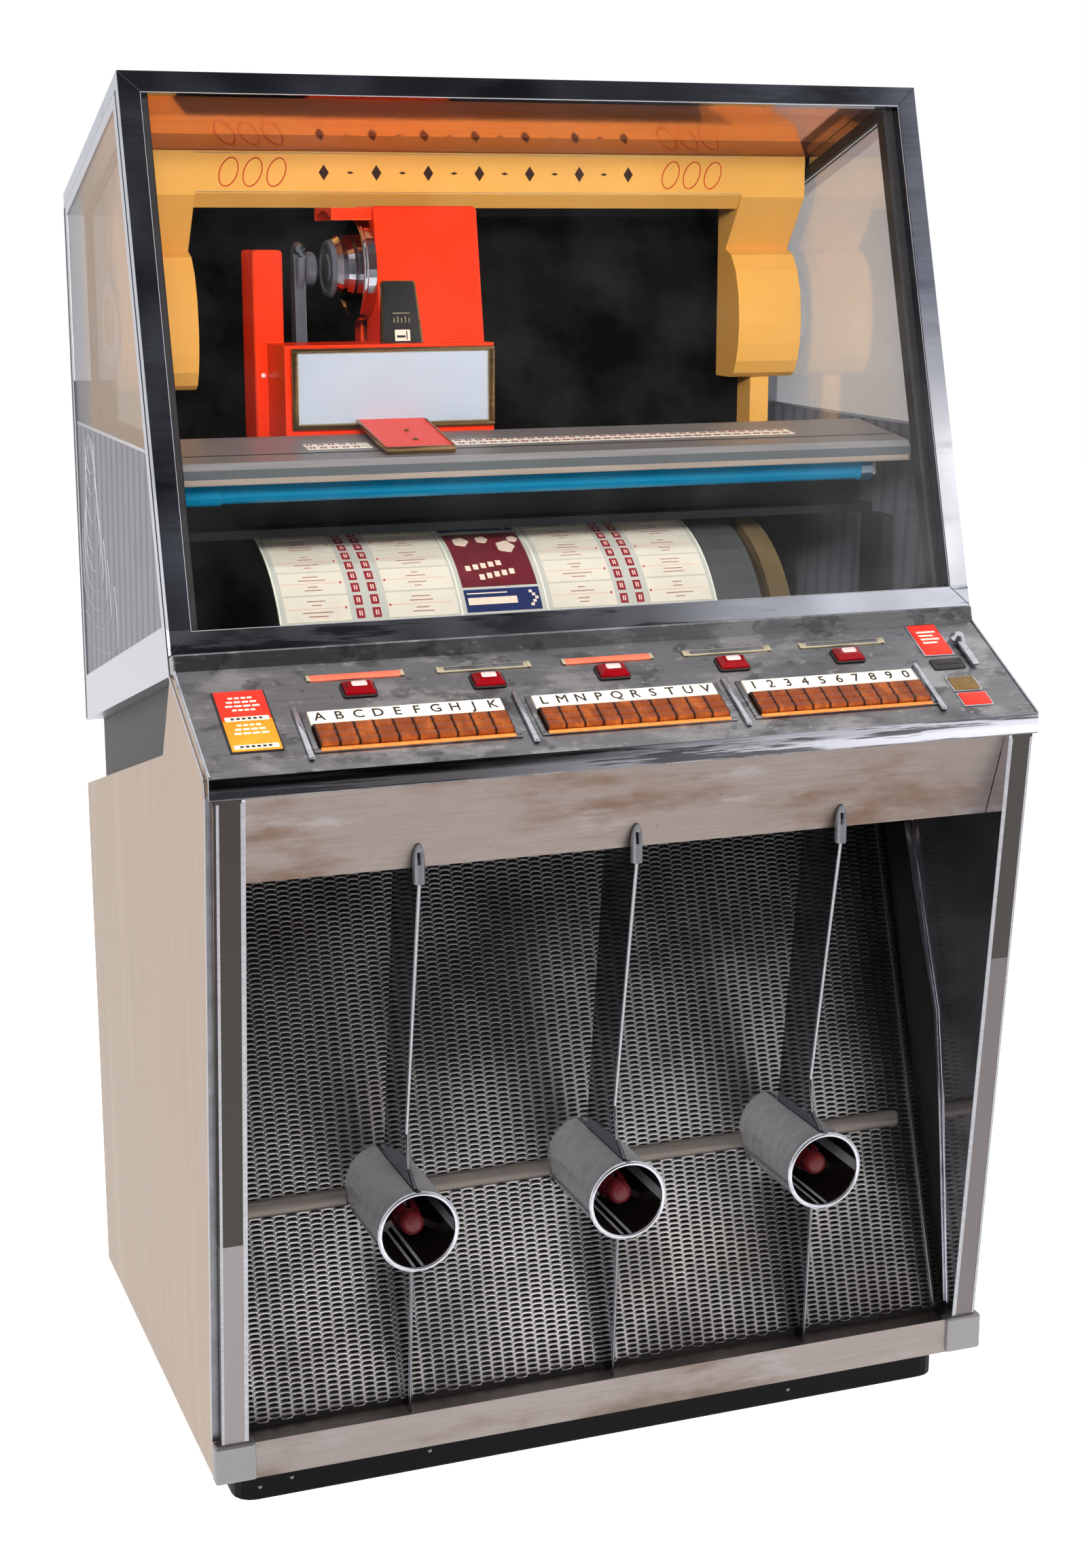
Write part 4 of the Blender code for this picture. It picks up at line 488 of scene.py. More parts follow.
FRAME_METAL = brushed_metal("front_frame_metal", (0.60, 0.56, 0.545), (0.47, 0.39, 0.32))
for side in (-1, 1):
    ends = sorted((side * 0.3985, side * 0.45))
    cap = box_mask(FRAME_METAL, (ends[0], -0.01, 0.046), (ends[1], 0.013, 0.0892))
    FRAME_METAL.blend(cap, (0.60, 0.59, 0.60)).socket("Roughness", cap, 0.42, 0.5)
    post_ends = sorted((side * 0.4061, side * 0.436))
    post = box_mask(FRAME_METAL, (post_ends[0], -0.07, 0.0895), (post_ends[1], 0.02, 0.775))
    FRAME_METAL.blend(post, (0.28, 0.26, 0.25) if side < 0 else (0.30, 0.285, 0.28))
    FRAME_METAL.socket("Roughness", post, 0.42, 0.34)
    worn_top = 0.313 if side < 0 else 0.523
    worn = box_mask(FRAME_METAL, (post_ends[0], -0.07, 0.0895), (post_ends[1], 0.02, worn_top))
    FRAME_METAL.blend(worn, (0.58, 0.555, 0.56) if side < 0 else (0.47, 0.445, 0.45), 0.9)
    cheek_ends = sorted((side * 0.405, side * 0.4095))
    cheek = box_mask(FRAME_METAL, (cheek_ends[0], -0.07, 0.0895), (cheek_ends[1], 0.12, 0.775))
    FRAME_METAL.blend(cheek, (0.72, 0.72, 0.75)).socket("Roughness", cheek, 0.42, 0.07)

HOUSING = toned(Finish("housing_paint", (0.20, 0.185, 0.19), 0.55, specular=0.25), 60.0, 0.85, 1.12, 5.0)
for side in (-1, 1):
    ends = sorted((side * 0.4203, side * 0.4405))
    rim = box_mask(HOUSING, (ends[0], 0.05, 0.60), (ends[1], 0.60, 1.45))
    HOUSING.blend(rim, (0.76, 0.76, 0.79)).socket("Metallic", rim, 0.0, 1.0).socket("Roughness", rim, 0.5, 0.36)
    reveal_ends = sorted((side * 0.4203, side * 0.4398))
    reveal = box_mask(HOUSING, (reveal_ends[0], 0.5628, 1.12), (reveal_ends[1], 0.5642, 1.33))
    HOUSING.blend(reveal, (0.78, 0.78, 0.80)).socket("Metallic", reveal, 0.0, 0.0)
inner = box_mask(HOUSING, (-0.4085, 0.09, 0.63), (0.4085, 0.567, 1.45))
HOUSING.blend(inner, (0.10, 0.095, 0.10))

PLINTH = Finish("plinth_black", (0.018, 0.018, 0.018), 0.5, specular=0.12)
PLINTH.blend(PLINTH.use(EDGES, Radius=0.003, Strength=5.0), (0.30, 0.28, 0.26), 0.7)
PLINTH.stain((30.0, 30.0, 40.0), 0.6, 0.2, (0.05, 0.048, 0.046), 0.5)
PLINTH.bump(PLINTH.use(GRAIN, Density=(200.0, 200.0, 200.0)), 0.0003, 0.3)

CLOTH = Finish("speaker_cloth", (0.050, 0.045, 0.045), 0.9)
CLOTH.blend(CLOTH.use(LINES, Direction=(1.0, 0.0, 0.0), Pitch=0.0022, Share=0.4), (0.085, 0.078, 0.072), 0.6)
CLOTH.tone(CLOTH.use(GRAIN, Density=(9.0, 9.0, 9.0), Detail=2.0), 0.6, 1.3)


def mesh_metal_painted_shade(name, colour, roughness):
    """The grille's bare metal with broad dull stains and painted shade: much lighter low down, darker up under
    the fascia and to the right, and broad soft patches of painted shadow.
    """
    made = Finish(name, colour, roughness, 1.0)
    dull = tuple(c * k for c, k in zip(colour, (0.86, 0.80, 0.74)))
    made.stain((3.0, 6.0, 5.0), 0.5, 0.3, dull, 0.5)
    # Painted shade: lighter low down and darker up under the fascia, darker towards the right, and soft patches
    # of painted shadow.
    made.tone(made.use(ALONG, Low=0.12, High=0.60), 2.9, 0.78, 0.0, 1.0)
    made.tone(made.use(ALONG, Direction=(1.0, 0.0, 0.0), Low=0.08, High=0.40), 1.0, 0.72, 0.0, 1.0)
    made.tone(made.use(PATCHES, Density=(4.4, 4.6, 4.2), Threshold=0.40, Softness=0.24), 1.15, 0.50, 0.0, 1.0)
    return made


MESH = mesh_metal_painted_shade("silver_mesh", (0.50, 0.49, 0.49), 0.36)
# A painted highlight: the mesh's pressed-out lower lips take this paler, smoother copy of its metal.
MESH_LIP_HIGHLIGHT = mesh_metal_painted_shade("silver_mesh_lip_highlight", (0.66, 0.65, 0.66), 0.30)

AMBER = Finish("amber_keys", (0.42, 0.18, 0.05), 0.25, coat=0.15, coat_roughness=0.06, specular=0.3)
AMBER.stain((60.0, 30.0, 60.0), 0.42, 0.3, (0.62, 0.32, 0.10), 0.7)
AMBER.stain(160.0, 0.56, 0.2, (0.27, 0.10, 0.03), 0.6)
# Painted shade: each key darkens towards both its sides, so the gaps between keys read as shaded.
AMBER.blend(AMBER.use(KEY_SIDE_SHADE, Start=0.38, End=0.49), (0.13, 0.045, 0.015), 0.92)

RUBY = Finish("ruby_jewels", (0.44, 0.02, 0.05), 0.08, coat=0.2, coat_roughness=0.02, specular=0.4)
RUBY.stain(90.0, 0.5, 0.2, (0.28, 0.0, 0.02), 0.6)

YELLOW = toned(Finish("yellow_header", (0.875, 0.635, 0.315), 0.46, specular=0.3), 6.0, 0.94, 1.05, 2.0)
YELLOW.stain(30.0, 0.66, 0.1, (0.86, 0.61, 0.25), 0.4)
YELLOW.bump(YELLOW.use(GRAIN, Density=(160.0, 160.0, 160.0)), 0.0003, 0.2)

RED = toned(
    Finish("red_cover", (0.89, 0.19, 0.06), 0.36, coat=0.15, coat_roughness=0.2, specular=0.3),
    5.0,
    0.94,
    1.04,
    2.0,
)
RED.blend(RED.use(EDGES, Radius=0.003, Strength=3.0), (0.98, 0.46, 0.26), 0.6)
RED.stain(80.0, 0.72, 0.04, (0.55, 0.12, 0.06), 0.5)

GREY = toned(Finish("grey_mechanism", (0.52, 0.50, 0.50), 0.42, 0.25), (12.0, 200.0, 200.0), 0.86, 1.08, 5.0)
GREY.blend(box_mask(GREY, (-0.42, 0.160, 1.02), (0.42, 0.1672, 1.0575)), (0.33, 0.34, 0.35), 0.95)
# Painted shade: the bed under the scale rail, above the drum, is painted near-black.
under = box_mask(GREY, (-0.41, 0.24, 0.96), (0.41, 0.56, 1.0585))
GREY.blend(under, (0.075, 0.075, 0.08))

ARM = Finish("arm_grey", (0.36, 0.37, 0.40), 0.38, 0.4)
ARM.blend(ARM.use(EDGES, Radius=0.002, Strength=4.0), (0.62, 0.63, 0.66), 0.7)
ARM.tone(ARM.use(GRAIN, Density=(40.0, 40.0, 40.0)), 0.85, 1.1)

TEAL = toned(Finish("teal_lamp", (0.0, 0.42, 0.55), 0.35, specular=0.25), (3.0, 60.0, 60.0), 0.85, 1.1)
TEAL.glow((0.0, 0.42, 0.60), 0.16)
lamp_cap = box_mask(TEAL, (0.3607, 0.15, 0.9), (0.376, 0.25, 1.1))
TEAL.blend(lamp_cap, (0.62, 0.64, 0.68)).socket("Metallic", lamp_cap, 0.0, 1.0)

TUBE = toned(Finish("tube_satin", (0.74, 0.74, 0.76), 0.34, 0.6), (60.0, 260.0, 60.0), 0.82, 1.1, 5.0)
TUBE.stain((26.0, 26.0, 20.0), 0.52, 0.2, (0.62, 0.62, 0.63), 0.5)
LENS = toned(Finish("dark_red_lens", (0.25, 0.06, 0.07), 0.3, coat=0.1, specular=0.3), 200.0, 0.8, 1.15, 3.0)
for place in TUBE_PLACES:
    span = 0.0385
    hollow = TUBE.use(
        REGION,
        Low=(place - span, -0.2785, TUBE_HEIGHT - span),
        High=(place + span, -0.05, TUBE_HEIGHT + span),
    )
    where = wire(TUBE.tree, "ShaderNodeTexCoord").outputs["Object"]
    from_axis = [(0, where), (1, (place, 0.0, TUBE_HEIGHT))]
    offset = wire(TUBE.tree, "ShaderNodeVectorMath", from_axis, operation="SUBTRACT").outputs[0]
    flat = wire(TUBE.tree, "ShaderNodeVectorMath", [(0, offset), (1, (1.0, 0.0, 1.0))], operation="MULTIPLY")
    radius = wire(TUBE.tree, "ShaderNodeVectorMath", [(0, flat.outputs[0])], operation="LENGTH")
    bore = math_node(TUBE.tree, "LESS_THAN", radius.outputs["Value"], 0.0397)
    # Painted shade: inside each tube's bore the finish is near-black and not metallic.
    dark = math_node(TUBE.tree, "MULTIPLY", hollow, bore)
    TUBE.blend(dark, (0.055, 0.035, 0.035)).socket("Metallic", dark, 0.6, 0.0)
    near = math_node(TUBE.tree, "LESS_THAN", radius.outputs["Value"], 0.0168)
    bullet = math_node(TUBE.tree, "MULTIPLY", near, hollow)
    TUBE.blend(bullet, (0.24, 0.05, 0.07)).socket("Roughness", bullet, 0.28, 0.14)
    fin = box_mask(TUBE, (place - 0.0028, -0.06, 0.08), (place + 0.0028, 0.21, 0.70))
    TUBE.blend(fin, (0.52, 0.52, 0.55), 0.95)
    TUBE.socket("Metallic", fin, 0.6, 1.0).socket("Roughness", fin, 0.34, 0.07)
    hook = box_mask(TUBE, (place - 0.009, -0.09, 0.652), (place + 0.009, 0.0, 0.73))
    TUBE.blend(hook, (0.40, 0.40, 0.42), 0.9)

DRUM_BODY = toned(Finish("drum_body", (0.32, 0.315, 0.32), 0.45, 0.3), (160.0, 10.0, 10.0), 0.85, 1.08)
end_plate = box_mask(DRUM_BODY, (-0.42, 0.0, 0.6), (-0.2985, 0.6, 1.0))
DRUM_BODY.blend(end_plate, (0.16, 0.16, 0.16))
wheel_side = box_mask(DRUM_BODY, (0.256, 0.0, 0.6), (0.30, 0.6, 1.0))
DRUM_BODY.blend(wheel_side, (0.40, 0.33, 0.23)).socket("Metallic", wheel_side, 0.3, 0.0)
shaft = box_mask(DRUM_BODY, (0.2858, 0.3, 0.75), (0.42, 0.4, 0.86))
DRUM_BODY.blend(shaft, (0.70, 0.70, 0.73)).socket("Metallic", shaft, 0.3, 1.0)

WHEEL_TYRE = toned(Finish("wheel_tyre", (0.39, 0.32, 0.22), 0.5, specular=0.3), 40.0, 0.85, 1.1)
CARD = toned(Finish("card_paper", (0.86, 0.81, 0.745), 0.62, specular=0.25), 40.0, 0.96, 1.03, 5.0)
PAPER_WHITE = toned(Finish("drum_sheet", (0.74, 0.72, 0.68), 0.5, specular=0.25), 30.0, 0.95, 1.03)
MAROON = toned(Finish("maroon_print", (0.55, 0.13, 0.18), 0.55), 200.0, 0.82, 1.1, 3.0)
DEEP_MAROON = toned(Finish("picture_ground", (0.40, 0.13, 0.16), 0.5), 60.0, 0.8, 1.12, 3.0)
NAVY = toned(Finish("navy_print", (0.13, 0.17, 0.33), 0.5), 90.0, 0.85, 1.1, 3.0)
INK = toned(Finish("faded_ink", (0.62, 0.42, 0.38), 0.6), 500.0, 0.75, 1.3, 2.0)
# A painted highlight: a pale pink-white patch laid on top of each jewel.
JEWEL_PAINTED_HIGHLIGHT = toned(Finish("jewel_painted_highlight", (0.93, 0.72, 0.70), 0.12, coat=0.3), 300.0, 0.85, 1.05)
PINK_INK = toned(Finish("pink_ink", (0.90, 0.62, 0.56), 0.6), 300.0, 0.9, 1.08)

IVORY = toned(Finish("ivory_strip", (0.93, 0.90, 0.83), 0.38, coat=0.2), 30.0, 0.94, 1.03)
LETTER = toned(Finish("letter_black", (0.13, 0.09, 0.07), 0.5), 300.0, 0.8, 1.2)
RAIL_EDGE = toned(Finish("rail_edge", (0.56, 0.50, 0.46), 0.45, specular=0.3), (8.0, 120.0, 120.0), 0.8, 1.1)
TRIM_BAR = toned(Finish("trim_bar", (0.42, 0.39, 0.37), 0.34, 0.7), (16.0, 300.0, 300.0), 0.8, 1.12, 5.0)
PLATE_RED = toned(Finish("plate_red", (0.87, 0.17, 0.10), 0.32, coat=0.08, specular=0.3), 40.0, 0.92, 1.06)
PLATE_YELLOW = toned(
    Finish("plate_yellow", (0.88, 0.55, 0.12), 0.32, coat=0.08, specular=0.3), 40.0, 0.92, 1.06
)
PALE_PRINT = toned(Finish("pale_print", (0.95, 0.84, 0.76), 0.45), 400.0, 0.88, 1.05)
CORAL = toned(Finish("coral_slot", (0.84, 0.40, 0.30), 0.4, specular=0.3), 60.0, 0.85, 1.1)
GOLD = toned(Finish("gold_trim", (0.84, 0.78, 0.66), 0.28, 0.8), (60.0, 200.0, 200.0), 0.85, 1.1)
BRASS_WINDOW = toned(Finish("brass_window", (0.50, 0.38, 0.20), 0.3, 0.5), (90.0, 200.0, 200.0), 0.8, 1.15)
BRONZE = toned(Finish("bronze_frame", (0.66, 0.52, 0.36), 0.28, 1.0), (25.0, 200.0, 200.0), 0.72, 1.2)
PALE_PANEL = toned(
    Finish("pale_panel", (0.66, 0.67, 0.71), 0.3, specular=0.3), (5.0, 5.0, 12.0), 0.93, 1.04, 2.0
)
DARK_PLATE = toned(Finish("dark_plate", (0.20, 0.19, 0.19), 0.34, 0.5), (200.0, 200.0, 20.0), 0.85, 1.15)
# A painted reflection: the orange strip along the foot of each key bank stands for the amber keys mirrored in
# the chrome bar below them.
KEY_REFLECTION_ORANGE = toned(
    Finish("orange_strip", (0.92, 0.48, 0.22), 0.24, coat=0.08, specular=0.3), (120.0, 60.0, 60.0), 0.8, 1.15
)
BROWN_PRINT = toned(Finish("brown_print", (0.20, 0.11, 0.08), 0.5), 300.0, 0.8, 1.15)
RED_PRINT = toned(Finish("red_print", (0.78, 0.27, 0.12), 0.5), 300.0, 0.85, 1.1)
BACK_CLOTH = Finish("canopy_back", (0.040, 0.037, 0.036), 0.85, specular=0.1)
BACK_CLOTH.blend(
    BACK_CLOTH.use(LINES, Direction=(0.7071, 0.0, 0.7071), Pitch=0.004, Share=0.35), (0.11, 0.10, 0.095), 0.5
)
BACK_CLOTH.blend(
    BACK_CLOTH.use(LINES, Direction=(0.7071, 0.0, -0.7071), Pitch=0.004, Share=0.35), (0.10, 0.09, 0.085), 0.4
)
BACK_CLOTH.tone(BACK_CLOTH.use(PATCHES, Density=(7.0, 7.0, 6.0), Threshold=0.4, Softness=0.25), 1.25, 0.5)
# The roof lining's orange is partly its own tint and partly a painted reflection of the yellow header; the dark
# red band over the header is a painted reflection of the header's band.
ROOF_LINING_PAINTED_REFLECTION = toned(Finish("roof_lining", (0.97, 0.62, 0.42), 0.08, 0.6), (6.0, 60.0, 60.0), 0.88, 1.06)
ROOF_LINING_PAINTED_REFLECTION.blend(box_mask(ROOF_LINING_PAINTED_REFLECTION, (-0.41, 0.392, 1.30), (0.41, 0.436, 1.45)), (0.50, 0.17, 0.09), 0.7)
SIDE_PANEL = Finish("side_panel_grey", (0.58, 0.565, 0.60), 0.4, specular=0.2)
SIDE_PANEL.blend(
    SIDE_PANEL.use(LINES, Direction=(0.0, 1.0, 0.08), Pitch=0.0300, Share=0.34), (0.46, 0.45, 0.49), 0.9
)
SIDE_PANEL.tone(SIDE_PANEL.use(GRAIN, Density=(20.0, 20.0, 20.0), Detail=3.0), 0.94, 1.04)
RING_PRINT = toned(Finish("ring_print", (0.80, 0.80, 0.83), 0.4), 80.0, 0.92, 1.05)
BOARD = toned(Finish("speaker_board", (0.23, 0.17, 0.11), 0.8), (60.0, 60.0, 6.0), 0.8, 1.15, 5.0)
AMP = toned(Finish("amplifier_grey", (0.34, 0.34, 0.36), 0.42, 0.6), 60.0, 0.85, 1.1)


def sheet_glass(name, colour, shine=0.5):
    """Sheet glass that lets the lamps' light through to what stands behind it."""
    made = Finish(name, colour, 0.0, ior=1.45, specular=shine)
    made.shader.inputs["Transmission Weight"].default_value = 1.0
    tree = made.tree
    smear = made.use(PATCHES, Density=(5.0, 5.0, 9.0), Threshold=0.55, Softness=0.3)
    made.socket("Roughness", smear, 0.0, 0.02)
    path = wire(tree, "ShaderNodeLightPath")
    through = wire(tree, "ShaderNodeBsdfTransparent", [("Color", (0.93, 0.95, 0.95, 1.0))])
    mix = wire(
        tree,
        "ShaderNodeMixShader",
        [(0, path.outputs["Is Shadow Ray"]), (1, made.shader.outputs[0]), (2, through.outputs[0])],
    )
    out = tree.nodes["Material Output"]
    tree.links.new(mix.outputs[0], out.inputs["Surface"])
    return made


GLASS = sheet_glass("clear_glass", (0.985, 0.99, 0.99))
SIDE_GLASS = sheet_glass("side_glass", (0.96, 0.96, 0.97), 0.08)
# A painted reflection on the side windows: a faint, partly see-through warm sheet, greyer towards the rear.
WINDOW_PAINTED_REFLECTION = Finish("window_painted_reflection", (0.90, 0.76, 0.62), 0.22, specular=0.35)
WINDOW_PAINTED_REFLECTION.blend(
    WINDOW_PAINTED_REFLECTION.use(ALONG, Direction=(0.0, 1.0, 0.0), Low=0.45 - MIDDLE_Y, High=0.52 - MIDDLE_Y),
    (0.66, 0.65, 0.68),
)
WINDOW_PAINTED_REFLECTION.tone(WINDOW_PAINTED_REFLECTION.use(GRAIN, Density=(12.0, 12.0, 12.0), Detail=3.0), 0.94, 1.04)
WINDOW_PAINTED_REFLECTION.shader.inputs["Alpha"].default_value = 0.38

CAD_FINISH = {
    "plinth": PLINTH,
    "cabinet_shell": CREAM,
    "front_frame": FRAME_METAL,
    "fascia_panel": FASCIA,
    "grille_panel": CLOTH,
    "tail_tube_left": TUBE,
    "tail_tube_center": TUBE,
    "tail_tube_right": TUBE,
    "selector_deck": DECK_CHROME,
    "coin_lever": BRIGHT,
    "canopy_housing": HOUSING,
    "side_glass_left": SIDE_GLASS,
    "side_glass_right": SIDE_GLASS,
    "front_glass": GLASS,
    "lid_frame": LID_CHROME,
    "title_drum": DRUM_BODY,
    "mechanism_bed": GREY,
    "lamp_tube": TEAL,
    "header_arch": YELLOW,
    "carriage": ARM,
    "mechanism_cover": RED,
    "tone_arm": ARM,
    "turntable": BRIGHT,
    "amplifier": AMP,
    "loudspeaker": BOARD,
}
for node_name, node in NODES.items():
    if node_name.startswith("key_"):
        chosen = AMBER
    elif node_name.startswith("category_button"):
        chosen = RUBY
    else:
        chosen = CAD_FINISH[node_name]
    for slot in node.material_slots:
        slot.material = chosen.material
    if chosen in (AMBER, RUBY):
        soft = node.modifiers.new("soft_edges", "BEVEL")
        soft.width = 0.0014 if chosen is AMBER else 0.0024
        soft.segments = 3
        soft.limit_method = "ANGLE"


# ---------------------------------------------------------------- making pieces


def put(name, mesh, matrix, finish, body, smooth=35):
    """Makes a piece of a mesh, in its place, in its finish, on its body."""
    mesh.transform(matrix)
    obj = bpy.data.objects.new(name, mesh)
    SCENE.collection.objects.link(obj)
    mesh.materials.clear()
    mesh.materials.append(finish.material)
    if smooth:
        mesh.shade_smooth()
        mesh.set_sharp_from_angle(angle=math.radians(smooth))
    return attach(obj, body)


def mesh_of(shape, name):
    mesh = bpy.data.meshes.new(name)
    bmesh.ops.recalc_face_normals(shape, faces=shape.faces)
    shape.to_mesh(mesh)
    shape.free()
    return mesh


def block_shape(shape, low, high, edge, steps=2):
    """Adds a softened block to a shape."""
    made = bmesh.ops.create_cube(shape, size=1.0)["verts"]
    size = [b - a for a, b in zip(low, high)]
    middle = [(a + b) / 2 for a, b in zip(low, high)]
    bmesh.ops.scale(shape, vec=size, verts=made)
    bmesh.ops.translate(shape, vec=middle, verts=made)
    if edge:
        edges = {e for v in made for e in v.link_edges}
        bmesh.ops.bevel(shape, geom=list(edges), offset=edge, segments=steps, profile=0.5, affect="EDGES")


def blocks(name, boxes, matrix, finish, body, edge=0.0005, steps=2):
    """One piece of several softened blocks, given by their low and high corners."""
    shape = bmesh.new()
    for low, high in boxes:
        block_shape(shape, low, high, edge, steps)
    return put(name, mesh_of(shape, name), matrix, finish, body)


def slab(name, outline, low, high, matrix, finish, body, edge=0.0004):
    """A flat piece of a given outline, from a low to a high level, with its edges softened."""
    shape = bmesh.new()
    base = [shape.verts.new((a, b, low)) for a, b in outline]
    face = shape.faces.new(base)
    raised = bmesh.ops.extrude_face_region(shape, geom=[face])["geom"]
    moved = [v for v in raised if isinstance(v, bmesh.types.BMVert)]
    bmesh.ops.translate(shape, vec=(0.0, 0.0, high - low), verts=moved)
    if edge:
        top = [e for e in shape.edges if all(abs(v.co.z - high) < 1e-7 for v in e.verts)]
        bmesh.ops.bevel(shape, geom=top, offset=edge, segments=2, profile=0.5, affect="EDGES")
    return put(name, mesh_of(shape, name), matrix, finish, body)


def skin(shape, rings, closed=False):
    """Joins rings of points, one after another, into a form with its ends shut or run into each other."""
    pairs = list(zip(rings, rings[1:]))
    if closed:
        pairs.append((rings[-1], rings[0]))
    for a, b in pairs:
        for k in range(len(a)):
            n = (k + 1) % len(a)
            shape.faces.new((a[k], a[n], b[n], b[k]))
    if not closed:
        shape.faces.new(rings[0][::-1])
        shape.faces.new(rings[-1])


def rod(name, paths, radius, matrix, finish, body, sides=10, closed=False):
    """Round rods along paths of points, as one piece."""
    shape = bmesh.new()
    for path in paths:
        points = [Vector(p) for p in path]
        count = len(points)
        rings = []
        for i, point in enumerate(points):
            if closed:
                tangent = points[(i + 1) % count] - points[i - 1]
            else:
                tangent = points[min(i + 1, count - 1)] - points[max(i - 1, 0)]
            tangent.normalize()
            side = tangent.cross(Vector((0.13, 0.21, 0.97)))
            if side.length < 0.05:
                side = tangent.cross(Vector((1.0, 0.0, 0.0)))
            side.normalize()
            other = tangent.cross(side)
            ring = []
            for k in range(sides):
                turn = 2 * math.pi * k / sides
                ring.append(
                    shape.verts.new(point + side * radius * math.cos(turn) + other * radius * math.sin(turn))
                )
            rings.append(ring)
        skin(shape, rings, closed)
    return put(name, mesh_of(shape, name), matrix, finish, body, 50)


def lathe(name, profile, matrix, finish, body, steps=40):
    """A piece turned about local Z from radius and height pairs."""
    shape = bmesh.new()
    add_turned(shape, profile, Matrix.Identity(4), steps)
    return put(name, mesh_of(shape, name), matrix, finish, body)


def add_turned(shape, profile, matrix, steps):
    rings = []
    for radius, height in profile:
        if radius < 1e-7:
            rings.append([shape.verts.new(matrix @ Vector((0.0, 0.0, height)))])
            continue
        ring = []
        for k in range(steps):
            turn = 2 * math.pi * k / steps
            point = Vector((radius * math.cos(turn), radius * math.sin(turn), height))
            ring.append(shape.verts.new(matrix @ point))
        rings.append(ring)
    for a, b in zip(rings, rings[1:]):
        for k in range(steps):
            n = (k + 1) % steps
            if len(a) == 1 and len(b) == 1:
                continue
            if len(a) == 1:
                shape.faces.new((a[0], b[n], b[k]))
            elif len(b) == 1:
                shape.faces.new((a[k], a[n], b[0]))
            else:
                shape.faces.new((a[k], a[n], b[n], b[k]))


def studs(name, places, radius, height, finish, body):
    """Small domed screw heads at the given matrices."""
    shape = bmesh.new()
    dome = [(radius * math.sin(a), height * math.cos(a)) for a in (0.0, 0.45, 0.9, 1.25, math.pi / 2)]
    for matrix in places:
        add_turned(shape, dome, matrix, 14)
    return put(name, mesh_of(shape, name), Matrix.Identity(4), finish, body)


def words(name, rows, matrix, finish, body, size, thick=0.0002, weight=0.0):
    """Generic letters or digits, each centred at its own place, as one thin raised piece."""
    shape = bmesh.new()
    for text, x, y in rows:
        curve = bpy.data.curves.new(name, "FONT")
        curve.body = text
        curve.size = size
        curve.align_x = "CENTER"
        curve.align_y = "CENTER"
        curve.extrude = thick
        curve.bevel_depth = weight
        curve.bevel_resolution = 0
        curve.resolution_u = 3
        drawn = bpy.data.objects.new(name + "_drawn", curve)
        SCENE.collection.objects.link(drawn)
        graph = bpy.context.evaluated_depsgraph_get()
        mesh = bpy.data.meshes.new_from_object(drawn.evaluated_get(graph))
        mesh.transform(Matrix.Translation((x, y, 0.0)))
        shape.from_mesh(mesh)
        bpy.data.objects.remove(drawn, do_unlink=True)
        bpy.data.meshes.remove(mesh)
        bpy.data.curves.remove(curve)
    bmesh.ops.remove_doubles(shape, verts=shape.verts, dist=1e-6)
    return put(name, mesh_of(shape, name), matrix, finish, body, 30)


def rectangle(x_low, x_high, y_low, y_high, corner=0.0, steps=4):
    """An outline with rounded corners, counter-clockwise."""
    if not corner:
        return [(x_low, y_low), (x_high, y_low), (x_high, y_high), (x_low, y_high)]
    points = []
    for cx, cy, start in (
        (x_high - corner, y_low + corner, -math.pi / 2),
        (x_high - corner, y_high - corner, 0.0),
        (x_low + corner, y_high - corner, math.pi / 2),
        (x_low + corner, y_low + corner, math.pi),
    ):
        for i in range(steps + 1):
            turn = start + i * math.pi / 2 / steps
            points.append((cx + corner * math.cos(turn), cy + corner * math.sin(turn)))
    return points


# ---------------------------------------------------------------- grille


